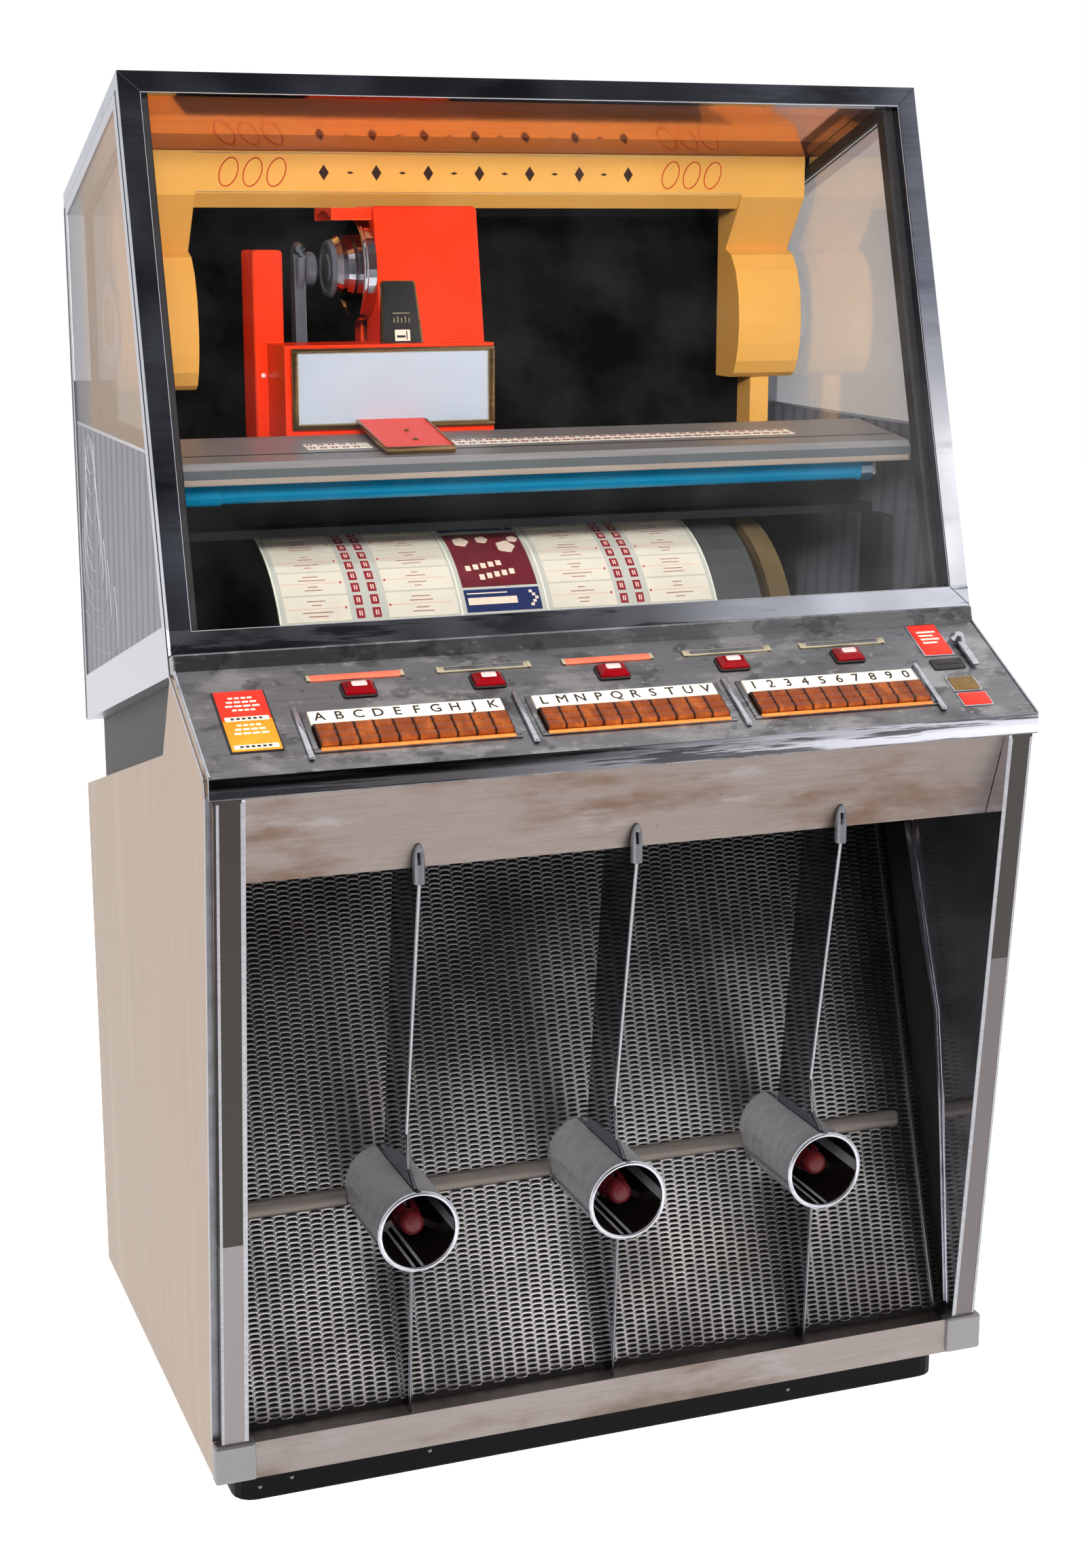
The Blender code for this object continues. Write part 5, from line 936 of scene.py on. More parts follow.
def grille_mesh():
    """Expanded metal: staggered columns of narrow slots, each with its lower lip pressed out."""
    column = 0.01295
    row = 0.0054
    slot_half = 0.0057
    slot_shoulder = 0.0037
    slot_height = 0.00090
    columns = int(0.836 / column)
    rows = int((GRILLE_LENGTH - 0.006) / row)
    left = -columns * column / 2 + column / 2
    shape = bmesh.new()
    known = {}

    def vertex(x, y, out):
        key = (round(x * 1e5), round(y * 1e5))
        if key not in known:
            known[key] = shape.verts.new((x, y, out))
        return known[key]

    for i in range(columns):
        x = left + i * column
        shift = row / 2 if i % 2 else 0.0
        for j in range(rows):
            y = 0.004 + row / 2 + j * row + shift
            if y + row / 2 > GRILLE_LENGTH - 0.001:
                continue
            gap_x = min(abs(x - place) for place in TUBE_PLACES)
            height = 0.082 + y * math.sin(GRILLE.angle)
            if math.hypot(gap_x, height - TUBE_HEIGHT) < 0.037:
                continue
            half = column / 2
            outer = [
                vertex(x - half, y, 0.0006),
                vertex(x - half, y + row / 2, 0.0006),
                vertex(x, y + row / 2, 0.0010),
                vertex(x + half, y + row / 2, 0.0006),
                vertex(x + half, y, 0.0006),
                vertex(x + half, y - row / 2, 0.0006),
                vertex(x, y - row / 2, 0.0010),
                vertex(x - half, y - row / 2, 0.0006),
            ]
            hole = [
                (x - slot_half, y, 0.0007),
                (x - slot_shoulder, y + slot_height * 0.8, 0.0003),
                (x, y + slot_height, 0.0002),
                (x + slot_shoulder, y + slot_height * 0.8, 0.0003),
                (x + slot_half, y, 0.0007),
                (x + slot_shoulder, y - slot_height * 0.8, 0.0021),
                (x, y - slot_height, 0.0023),
                (x - slot_shoulder, y - slot_height * 0.8, 0.0021),
            ]
            inner = [shape.verts.new(p) for p in hole]
            for k in range(8):
                n = (k + 1) % 8
                face = shape.faces.new((outer[k], outer[n], inner[n], inner[k]))
                # The pressed-out lower lip faces take the paler copy of the metal, a painted highlight.
                face.material_index = 1 if k in (5, 6) else 0
    mesh = mesh_of(shape, "grille_mesh")
    obj = put("grille_mesh", mesh, GRILLE.place(0.0, 0.0, 0.0006), MESH, "cabinet", 60)
    mesh.materials.append(MESH_LIP_HIGHLIGHT.material)
    sheet = obj.modifiers.new("thickness", "SOLIDIFY")
    sheet.thickness = 0.0004
    sheet.offset = -1


def grille_trim():
    """The half-round bar across the grille, between the tubes, and the thin edge strips."""
    height = 0.293
    along = (height - 0.082) / math.sin(GRILLE.angle)
    profile = []
    for i in range(9):
        turn = math.pi * i / 8
        profile.append((0.0095 * math.cos(turn), 0.0055 * math.sin(turn)))
    for index, (low, high) in enumerate(((-0.4055, -0.268), (-0.190, -0.039), (0.039, 0.190), (0.268, 0.386))):
        shape = bmesh.new()
        rings = []
        for x in (low, low + 0.003, high - 0.003, high):
            taper = 0.55 if x in (low, high) else 1.0
            rings.append([shape.verts.new((x, along + a * taper, 0.0022 + b * taper)) for a, b in profile])
        skin(shape, rings)
        put(
            f"grille_bar_{index + 1}",
            mesh_of(shape, "grille_bar"),
            GRILLE.place(0.0, 0.0, 0.0),
            TRIM_BAR,
            "cabinet",
        )
    strips = []
    for x in (-0.4035, 0.4035):
        strips.append(((x - 0.0022, 0.004, 0.001), (x + 0.0022, GRILLE_LENGTH - 0.004, 0.0045)))
    blocks("grille_edge_strips", strips, GRILLE.place(0.0, 0.0, 0.0), SATIN, "cabinet", 0.001)


def fin_edges():
    """Rounded bright edges on the fins, the rims and the beads along the tubes."""
    rims = []
    beads = []
    edges = []
    keels = []
    rim_radius = 0.0405
    bead_radius = 0.0420
    bead_turn = math.radians(196)
    for place in TUBE_PLACES:
        ring = []
        for k in range(48):
            turn = 2 * math.pi * k / 48
            ring.append(
                (place + rim_radius * math.cos(turn), -0.0195, TUBE_HEIGHT + rim_radius * math.sin(turn))
            )
        rims.append(ring)
        bead_x = place + bead_radius * math.cos(bead_turn)
        bead_z = TUBE_HEIGHT + bead_radius * math.sin(bead_turn)
        beads.append([(bead_x, -0.015, bead_z), (bead_x, 0.092, bead_z)])
        edge = ((-0.0365, 0.6765), (0.0175, 0.3905), (0.0105, 0.3545), (-0.010, 0.3405))
        edges.append([(place, y, z) for y, z in edge])
        keels.append([(place, 0.0180, 0.0835), (place, 0.0068, 0.2575)])
    rod("tube_rims", rims, 0.0022, TO_FLOOR, BRIGHT, "cabinet", 10, closed=True)
    rod("tube_beads", beads, 0.0011, TO_FLOOR, BRIGHT, "cabinet", 8)
    rod("fin_front_edges", edges, 0.0018, TO_FLOOR, SATIN, "cabinet", 10)
    rod("keel_front_edges", keels, 0.0016, TO_FLOOR, DIM_SATIN, "cabinet", 10)


def tail_lenses():
    """The dark red lens standing on the axis of each tube, with the spokes that hold it."""
    bullet = [
        (0.0, 0.0060),
        (0.0060, 0.0052),
        (0.0100, 0.0030),
        (0.0122, -0.0010),
        (0.0128, -0.0080),
        (0.0128, -0.0600),
        (0.0, -0.0600),
    ]
    foot, tip = 0.0120, 0.0392
    shape = bmesh.new()
    spokes = []
    for place in TUBE_PLACES:
        axis = TO_FLOOR @ Matrix.Translation((place, 0.0, TUBE_HEIGHT)) @ Matrix.Rotation(math.pi / 2, 4, "X")
        add_turned(shape, bullet, axis, 32)
        for k in range(3):
            turn = math.radians(90 + 120 * k)
            c, s = math.cos(turn), math.sin(turn)
            inner = (place + foot * c, 0.030, TUBE_HEIGHT + foot * s)
            outer = (place + tip * c, 0.040, TUBE_HEIGHT + tip * s)
            spokes.append([inner, outer])
    put("tail_lenses", mesh_of(shape, "tail_lenses"), Matrix.Identity(4), LENS, "cabinet")
    rod("tail_lens_spokes", spokes, 0.0016, TO_FLOOR, LENS, "cabinet", 8)


# ---------------------------------------------------------------- selector deck


def deck_face():
    """The framed key banks with their letter strips, and the dividers between them."""
    rows = ("ABCDEFGHJK", "LMNPQRSTUV", "1234567890")
    for bank, letters in enumerate(rows):
        x = (bank - 1) * BANK_PITCH
        place = DECK.place(x, 0.0, 0.0)
        half = 0.0985
        label = bank + 1
        blocks(
            f"key_surround_{label}",
            [
                ((-half - 0.006, 0.0235, 0.0001), (half + 0.006, 0.0287, 0.0014)),
                ((-half - 0.006, 0.0287, 0.0001), (-half, 0.0840, 0.0014)),
                ((half, 0.0287, 0.0001), (half + 0.006, 0.0840, 0.0014)),
                ((-half, 0.0620, 0.0001), (half, 0.0640, 0.0014)),
            ],
            place,
            DECK_CHROME,
            "cabinet",
            0.0004,
        )
        slab(
            f"letter_strip_{label}",
            rectangle(-half + 0.0005, half - 0.0005, 0.0645, 0.0820, 0.001),
            0.0002,
            0.0030,
            place,
            IVORY,
            "cabinet",
        )
        spots = [(letter, (i - 4.5) * KEY_PITCH, 0.0730) for i, letter in enumerate(letters)]
        words(
            f"letters_{label}",
            spots,
            place @ Matrix.Translation((0.0, 0.0, 0.0030)),
            LETTER,
            "cabinet",
            0.0165,
            0.0002,
            0.00022,
        )
        # Painted reflection of the amber keys: an orange strip on the surround's lower bar.
        blocks(
            f"orange_strip_{label}",
            [((-half + 0.001, 0.0240, 0.0014), (half - 0.001, 0.0284, 0.0030))],
            place,
            KEY_REFLECTION_ORANGE,
            "cabinet",
            0.0008,
        )
    bars = []
    for x in (-0.338, -0.1135, 0.1135, 0.335):
        bars.append(((x - 0.0032, 0.0135, 0.0001), (x + 0.0032, 0.0905, 0.0042)))
    blocks("deck_divider_bars", bars, DECK.place(0.0, 0.0, 0.0), BRIGHT, "cabinet", 0.0018, 3)


def deck_labels():
    """Category slots over the jewels, the coloured plates at both ends and the windows at the right."""
    colours = (CORAL, GOLD, CORAL, GOLD, GOLD)
    ends = []
    for index in range(5):
        x = (index - 2) * BUTTON_PITCH + 0.002
        place = DECK.place(x, 0.1340, 0.0)
        outline = rectangle(-0.047, 0.047, -0.0040, 0.0040, 0.0015)
        slab(f"category_slot_{index + 1}", outline, 0.0002, 0.0016, place, colours[index], "cabinet")
        if colours[index] is GOLD:
            slab(
                f"category_card_{index + 1}",
                rectangle(-0.042, 0.042, -0.0026, 0.0026, 0.001),
                0.0014,
                0.0020,
                place,
                DECK_CHROME,
                "cabinet",
                0.0002,
            )
        for side in (-1, 1):
            low, high = sorted((side * 0.0460, side * 0.0500))
            ends.append(((x + low, 0.1297, 0.0002), (x + high, 0.1383, 0.0022)))
    blocks("category_slot_ends", ends, DECK.place(0.0, 0.0, 0.0), GOLD, "cabinet", 0.0008, 3)
    # Painted shadow: a thin dark ring laid round each jewel.
    shadow_rings = []
    for index in range(5):
        x = (index - 2) * BUTTON_PITCH
        ring = [(x + a, 0.1125 + b, 0.0012) for a, b in rectangle(-0.0168, 0.0168, -0.0103, 0.0103, 0.003)]
        shadow_rings.append(ring)
    rod("jewel_shadow_rings", shadow_rings, 0.0011, DECK.place(0.0, 0.0, 0.0), DARK_PLATE, "cabinet", 8, closed=True)
    plates = (
        ("red_plate", PLATE_RED, -0.386, 0.0975, 0.0245, (0.0125, 0.0065, 0.0005, -0.0055)),
        ("yellow_plate", PLATE_YELLOW, -0.386, 0.0560, 0.0240, (0.0135, 0.0075, 0.0015)),
    )
    for name, finish, x, middle, half, rows in plates:
        place = DECK.place(x, middle, 0.0)
        slab(
            name + "_frame",
            rectangle(-0.0262, 0.0262, -half, half, 0.0015),
            0.0001,
            0.0012,
            place,
            DARK_PLATE,
            "cabinet",
        )
        slab(
            name,
            rectangle(-0.0242, 0.0242, -half + 0.0012, half - 0.0012, 0.001),
            0.0010,
            0.0024,
            place,
            finish,
            "cabinet",
        )
        bars = []
        for i, row in enumerate(rows):
            length = (0.0125, 0.0155, 0.0175, 0.0120)[i]
            for part in range(4):
                a = -length + part * length / 2 + 0.0006
                bars.append(((a, row - 0.0012, 0.0023), (a + length / 2 - 0.0016, row + 0.0012, 0.0026)))
        blocks(name + "_print", bars, place, PALE_PRINT, "cabinet", 0.0)
        low = -half + 0.0058
        strip = [((-0.0215, low - 0.0030, 0.0022), (0.0215, low + 0.0030, 0.0027))]
        blocks(name + "_strip", strip, place, PALE_PRINT, "cabinet", 0.0)
        marks = [
            ((-0.016 + k * 0.0055, low - 0.0014, 0.0026), (-0.0125 + k * 0.0055, low + 0.0014, 0.0029))
            for k in range(6)
        ]
        blocks(name + "_marks", marks, place, DARK_PLATE, "cabinet", 0.0)
    windows = (
        ("orange_plate", PLATE_RED, 0.3725, 0.1290, 0.0165, 0.0250),
        ("brass_window", BRASS_WINDOW, 0.3770, 0.0540, 0.0150, 0.0105),
        ("red_window", PLATE_RED, 0.3780, 0.0285, 0.0160, 0.0095),
    )
    for name, finish, x, middle, half_x, half_y in windows:
        place = DECK.place(x, middle, 0.0)
        slab(
            name + "_frame",
            rectangle(-half_x - 0.0018, half_x + 0.0018, -half_y - 0.0015, half_y + 0.0015, 0.0015),
            0.0001,
            0.0012,
            place,
            BRIGHT,
            "cabinet",
        )
        slab(name, rectangle(-half_x, half_x, -half_y, half_y, 0.001), 0.0010, 0.0022, place, finish, "cabinet")
    place = DECK.place(0.3725, 0.1290, 0.0)
    lines = [
        ((-0.011, 0.011 - k * 0.006, 0.0021), (0.011 - k % 2 * 0.005, 0.0135 - k * 0.006, 0.0024))
        for k in range(4)
    ]
    blocks("orange_plate_print", lines, place, PALE_PRINT, "cabinet", 0.0)
    slab(
        "coin_slot_plate",
        rectangle(-0.0190, 0.0190, -0.0085, 0.0085, 0.002),
        0.0001,
        0.0014,
        DECK.place(0.3745, 0.0880, 0.0),
        DARK_PLATE,
        "cabinet",
    )
    blocks(
        "coin_slot",
        [((-0.0125, -0.0012, 0.0012), (0.0125, 0.0012, 0.0019))],
        DECK.place(0.3745, 0.0880, 0.0),
        LETTER,
        "cabinet",
        0.0003,
    )


def deck_trim():
    """The lip's roll and bright face, and the rolls along the sides of the deck."""
    y, z = DECK.point(0.0, 0.0)
    lip = [[(-0.4395, y + 0.0022, z - 0.0018), (0.4395, y + 0.0022, z - 0.0018)]]
    rod("lip_roll", lip, 0.0024, TO_FLOOR, LID_CHROME, "cabinet", 12)
    # The lip's face carries the painted reflection of its finish.
    blocks(
        "lip_face",
        [((-0.4398, 0.0, 0.0), (0.4398, 0.0195, 0.0009))],
        upright(0.0, -0.0655, 0.7752),
        LIP,
        "cabinet",
        0.0004,
    )
    sides = []
    for x in (-0.4388, 0.4388):
        sides.append([(x, 0.001, 0.0008), (x, 0.158, 0.0008)])
    rod("deck_side_rolls", sides, 0.0012, DECK.place(0.0, 0.0, 0.0), BRIGHT, "cabinet", 8)


# ---------------------------------------------------------------- title drum


def curved_patch(shape, x_low, x_high, low_deg, high_deg, out, thick, steps=8):
    """A thin slab laid round the drum between two angles above the front."""
    y, z, radius = DRUM
    rings = []
    for x in (x_low, x_high):
        for lift in (out, out + thick):
            ring = []
            for i in range(steps + 1):
                turn = math.radians(low_deg + (high_deg - low_deg) * i / steps)
                reach = radius + lift
                ring.append(shape.verts.new((x, y - reach * math.cos(turn), z + reach * math.sin(turn))))
            rings.append(ring)
    inner_low, outer_low, inner_high, outer_high = rings
    around = (outer_low, outer_high, inner_high, inner_low, outer_low)
    for a, b in zip(around, around[1:]):
        for i in range(steps):
            shape.faces.new((a[i], a[i + 1], b[i + 1], b[i]))
    shape.faces.new((inner_low[0], outer_low[0], outer_high[0], inner_high[0]))
    shape.faces.new((inner_low[-1], inner_high[-1], outer_high[-1], outer_low[-1]))


def drum_cards():
    """Title cards in two pairs of columns, maroon code tabs between them and a picture panel in the middle."""
    row = 11.25
    count = 32
    sheet = bmesh.new()
    for i in range(count):
        curved_patch(sheet, -0.2995, 0.1955, i * row, (i + 1) * row, 0.0002, 0.0006, 2)
    cards = bmesh.new()
    tabs = bmesh.new()
    ink = bmesh.new()
    pink = bmesh.new()
    ground = bmesh.new()
    pale = bmesh.new()
    navy = bmesh.new()
    columns = ((-0.292, -0.222), (-0.181, -0.104), (0.003, 0.077), (0.1165, 0.1895))
    for i in range(count):
        start = i * row + 7.4
        for number, (low, high) in enumerate(columns):
            curved_patch(cards, low, high, start + 0.35, start + row - 0.35, 0.0008, 0.0005, 2)
            curved_patch(pink, low + 0.002, high - 0.007, start + 5.5, start + 5.7, 0.0013, 0.0001, 1)
            middle = (low + high) / 2
            for level_deg, width in ((8.6, 0.010), (6.9, 0.013), (3.8, 0.015), (2.2, 0.011)):
                wide = width * (0.75 + 0.4 * math.sin(i * 2.3 + number * 1.7 + level_deg))
                curved_patch(
                    ink,
                    middle - wide,
                    middle + wide,
                    start + level_deg,
                    start + level_deg + 0.42,
                    0.0013,
                    0.0001,
                    1,
                )
            dot = high - 0.0042 if number % 2 == 0 else low + 0.0030
            curved_patch(pink, dot - 0.0014, dot + 0.0014, start + 5.0, start + 6.2, 0.0013, 0.0001, 1)
            curved_patch(tabs, dot - 0.0008, dot + 0.0008, start + 5.2, start + 6.0, 0.0014, 0.0001, 1)
        for x in (-0.2115, -0.1935, 0.0865, 0.1052):
            for shift in (0.9, 6.5):
                curved_patch(
                    tabs, x - 0.0044, x + 0.0044, start + shift, start + shift + 4.1, 0.0008, 0.0004, 2
                )
                curved_patch(
                    pale, x - 0.0016, x - 0.0003, start + shift + 1.0, start + shift + 3.1, 0.0012, 0.0001, 1
                )
                curved_patch(
                    pale, x + 0.0008, x + 0.0020, start + shift + 1.0, start + shift + 3.1, 0.0012, 0.0001, 1
                )
    for quarter in range(8):
        start = quarter * 45.0 + 29.0
        curved_patch(ground, -0.0945, -0.0095, start + 12.2, start + 43.5, 0.0008, 0.0005, 8)
        curved_patch(navy, -0.0945, -0.0095, start + 1.4, start + 11.0, 0.0008, 0.0005, 3)
        curved_patch(pale, -0.0915, -0.036, start + 4.4, start + 7.4, 0.0013, 0.0001, 2)
        curved_patch(pale, -0.0915, -0.046, start + 9.0, start + 9.5, 0.0013, 0.0001, 1)
        for step_x, step_a in ((-0.0125, 6.2), (-0.0155, 7.6), (-0.0155, 4.8), (-0.0185, 9.0), (-0.0185, 3.4)):
            curved_patch(
                pale,
                step_x - 0.0030,
                step_x + 0.0008,
                start + step_a - 0.5,
                start + step_a + 0.7,
                0.0013,
                0.0001,
                1,
            )
        ornaments = (
            (-0.078, 37.5, 0.0085), (-0.053, 38.5, 0.0068), (-0.030, 33.0, 0.0100), (-0.018, 38.0, 0.0060)
        )
        for x, a, size in ornaments:
            round_ornament(pale, x, start + a, size)
        for line, (low, high) in enumerate(((-0.085, -0.040), (-0.072, -0.028))):
            for part in range(5):
                width = (high - low) / 5
                a = start + 20.0 - line * 4.6 + part * 0.55
                curved_patch(
                    pale, low + part * width, low + part * width + width * 0.66, a, a + 2.6, 0.0013, 0.0001, 1
                )
    ribs = bmesh.new()
    for x in (-0.1005, -0.0035, -0.2985, 0.1945):
        for i in range(36):
            curved_patch(ribs, x - 0.0009, x + 0.0009, i * 10.0, i * 10.0 + 10.0, 0.0008, 0.0007, 2)
    for name, shape, finish in (
        ("drum_sheet", sheet, PAPER_WHITE),
        ("title_cards", cards, CARD),
        ("code_tabs", tabs, MAROON),
        ("card_print", ink, INK),
        ("card_lines", pink, PINK_INK),
        ("picture_ground", ground, DEEP_MAROON),
        ("pale_prints", pale, PALE_PRINT),
        ("price_panels", navy, NAVY),
        ("drum_column_ribs", ribs, IVORY),
    ):
        bmesh.ops.remove_doubles(shape, verts=shape.verts, dist=1e-7)
        put(name, mesh_of(shape, name), TO_FLOOR, finish, "card_drum", 30)


def round_ornament(shape, x, angle, size):
    """A plain disc ornament on the picture panel."""
    y, z, radius = DRUM
    lift = radius + 0.0014
    turn = math.radians(angle)
    normal = Vector((0.0, -math.cos(turn), math.sin(turn)))
    up = Vector((0.0, math.sin(turn), math.cos(turn)))
    centre = Vector((x, y, z)) + normal * lift
    points = []
    for k in range(20):
        a = 2 * math.pi * k / 20
        wave = size * (1.0 + 0.10 * math.cos(5 * a))
        points.append(centre + Vector((1.0, 0.0, 0.0)) * wave * math.cos(a) + up * wave * math.sin(a))
    low = [shape.verts.new(p - normal * 0.0005) for p in points]
    high = [shape.verts.new(p + normal * 0.0001) for p in points]
    skin(shape, (low, high))


def drum_wheel():
    """The drive wheel's tyre and hub, and the boss at the other end of the drum."""
    turn = TO_FLOOR @ Matrix.Translation((0.0, DRUM[0], DRUM[1])) @ Matrix.Rotation(math.pi / 2, 4, "Y")
    lathe(
        "wheel_tyre",
        [
            (0.1480, 0.2612),
            (0.1575, 0.2618),
            (0.1579, 0.2738),
            (0.1575, 0.2860),
            (0.1480, 0.2865),
            (0.1440, 0.2858),
            (0.1440, 0.2618),
            (0.1480, 0.2612),
        ],
        turn,
        WHEEL_TYRE,
        "card_drum",
        72,
    )
    lathe(
        "wheel_hub",
        [
            (0.0085, 0.2860),
            (0.030, 0.2860),
            (0.033, 0.2885),
            (0.033, 0.3060),
            (0.030, 0.3100),
            (0.022, 0.3120),
            (0.022, 0.3260),
            (0.019, 0.3300),
            (0.0085, 0.3300),
        ],
        turn,
        BRIGHT,
        "card_drum",
        40,
    )
    lathe(
        "drum_left_boss",
        [
            (0.0085, -0.3002),
            (0.042, -0.3002),
            (0.045, -0.3030),
            (0.045, -0.3120),
            (0.040, -0.3160),
            (0.0085, -0.3160),
        ],
        turn,
        DARK_PLATE,
        "card_drum",
        40,
    )


# ---------------------------------------------------------------- mechanism


RAIL_Y, RAIL_Z = 0.166, 1.059
RAIL_RUN, RAIL_RISE = 0.125, 0.0155


def rail_height(y):
    return RAIL_Z + RAIL_RISE * (y - RAIL_Y) / RAIL_RUN


def rail_scale():
    """The scale along the rail: two pale strips with ticks, and the cream lower edge of its apron."""
    angle = math.atan2(RAIL_RISE, RAIL_RUN)
    tick_pitch = 0.0118

    def on_rail(x, y, lift):
        return TO_FLOOR @ Matrix.Translation((x, y, rail_height(y) + lift)) @ Matrix.Rotation(angle, 4, "X")

    runs = ((-0.262, -0.193), (-0.112, 0.292))
    strips = []
    ticks = []
    for low, high in runs:
        for shift in (-0.0068, 0.0068):
            strips.append(((low, shift - 0.0050, 0.0), (high, shift + 0.0050, 0.0006)))
            count = int((high - low) / tick_pitch)
            for k in range(count):
                x = low + 0.0062 + k * tick_pitch
                ticks.append(((x - 0.0036, shift - 0.0028, 0.0005), (x - 0.0014, shift + 0.0028, 0.0009)))
                ticks.append(((x + 0.0004, shift - 0.0028, 0.0005), (x + 0.0026, shift + 0.0028, 0.0009)))
    blocks("scale_strips", strips, on_rail(0.0, 0.232, 0.0002), IVORY, "cabinet", 0.0)
    blocks("scale_marks", ticks, on_rail(0.0, 0.232, 0.0002), MAROON, "cabinet", 0.0)
    blocks(
        "scale_seam",
        [((-0.4045, -0.0006, 0.0), (0.4045, 0.0006, 0.0005))],
        on_rail(0.0, 0.205, 0.0001),
        DARK_PLATE,
        "cabinet",
        0.0,
    )
    blocks(
        "apron_edge",
        [((-0.4045, 0.0, 0.0), (0.4045, 0.0060, 0.0008))],
        upright(0.0, RAIL_Y, 1.0385),
        RAIL_EDGE,
        "cabinet",
        0.0003,
    )


def lamp_sleeve():
    """The lamp's left end, which runs on into the wall."""
    path = [(x, *LAMP_AXIS) for x in (-0.3740, -0.3900, -INNER_HALF)]
    rod("lamp_left_end", [path], 0.0129, TO_FLOOR, TEAL, "cabinet", 24)


def jewel_painted_highlights():
    """A pale patch on top of each jewel: a painted highlight."""
    for index in range(5):
        place = DECK.place((index - 2) * BUTTON_PITCH, 0.1132, 0.0080)
        outline = rectangle(-0.0078, 0.0078, -0.0034, 0.0040, 0.0018)
        slab(
            f"jewel_painted_highlight_{index + 1}",
            outline,
            -0.0010,
            0.0003,
            place,
            JEWEL_PAINTED_HIGHLIGHT,
            f"category_button_{index + 1}",
            0.0002,
        )


def cheek_edges():
    """The bright folded edge behind each polished cheek."""
    fold = (
        (0.095, 0.772),
        (0.095, 0.685),
        (0.131, 0.637),
        (0.105, 0.566),
        (0.055, 0.436),
        (0.039, 0.334),
        (0.013, 0.102),
    )
    paths = [[(side * INNER_HALF, y, z) for y, z in fold] for side in (-1, 1)]
    rod("cheek_edges", paths, 0.0016, TO_FLOOR, BRIGHT, "cabinet", 8)
    flange = (
        (0.1320, 0.6350, 0.0090),
        (0.1075, 0.5650, 0.0075),
        (0.0830, 0.5000, 0.0062),
        (0.0575, 0.4350, 0.0050),
        (0.0415, 0.3330, 0.0040),
        (0.0150, 0.1020, 0.0032),
    )
    shape = bmesh.new()
    for side in (-1, 1):
        rings = []
        for y, z, width in flange:
            far, near = side * 0.4068, side * (0.4068 - width)
            corners = ((far, y), (near, y), (near, y + 0.0012), (far, y + 0.0012))
            rings.append([shape.verts.new((a, b, z)) for a, b in corners])
        skin(shape, rings)
    put("cheek_flanges", mesh_of(shape, "cheek_flanges"), TO_FLOOR, BRIGHT, "cabinet", 30)


def header_rounds():
    """A plain round ornament on the outer side of each bracket."""
    for side, name in SIDES:
        outer_face = Matrix.Translation((side * 0.4047, 0.4960, 1.1850))
        place = TO_FLOOR @ outer_face @ Matrix.Rotation(side * math.pi / 2, 4, "Y")
        lathe(
            f"round_ground_{name}",
            [(0.0, 0.0012), (0.0560, 0.0012), (0.0570, 0.0002), (0.0, 0.0002)],
            place,
            DARK_PLATE,
            "cabinet",
            40,
        )
        lathe(
            f"round_face_{name}",
            [(0.0, 0.0022), (0.0430, 0.0022), (0.0440, 0.0010), (0.0, 0.0010)],
            place,
            PALE_PRINT,
            "cabinet",
            40,
        )
        lathe(
            f"round_middle_{name}",
            [(0.0, 0.0029), (0.0265, 0.0029), (0.0270, 0.0020), (0.0, 0.0020)],
            place,
            CORAL,
            "cabinet",
            32,
        )


def front_panel():
    """The framed pale panel on the front of the cover's box."""
    x_low, x_high, z_low, z_high = -0.2600, -0.0350, 1.0800, 1.1645
    middle_x = (x_low + x_high) / 2
    middle_z = (z_low + z_high) / 2
    half_x = (x_high - x_low) / 2
    half_z = (z_high - z_low) / 2
    place = upright(middle_x, 0.2930, middle_z)
    blocks(
        "front_panel_frame",
        [
            ((-half_x, -half_z, 0.0), (half_x, -half_z + 0.0048, 0.0060)),
            ((-half_x, half_z - 0.0040, 0.0), (half_x, half_z, 0.0060)),
            ((-half_x, -half_z + 0.0045, 0.0), (-half_x + 0.0065, half_z - 0.0038, 0.0060)),
            ((half_x - 0.0060, -half_z + 0.0045, 0.0), (half_x, half_z - 0.0038, 0.0060)),
        ],
        place,
        BRONZE,
        "record_carriage",
        0.0012,
        3,
    )
    slab(
        "front_panel",
        rectangle(-half_x + 0.0060, half_x - 0.0055, -half_z + 0.0042, half_z - 0.0036),
        0.0002,
        0.0026,
        place,
        PALE_PANEL,
        "record_carriage",
        0.0004,
    )
    inside = rectangle(-half_x + 0.0072, half_x - 0.0067, -half_z + 0.0054, half_z - 0.0048, 0.001)
    line = [(a, b, 0.0028) for a, b in inside]
    rod("front_panel_inner_line", [line], 0.0008, place, GOLD, "record_carriage", 6, closed=True)


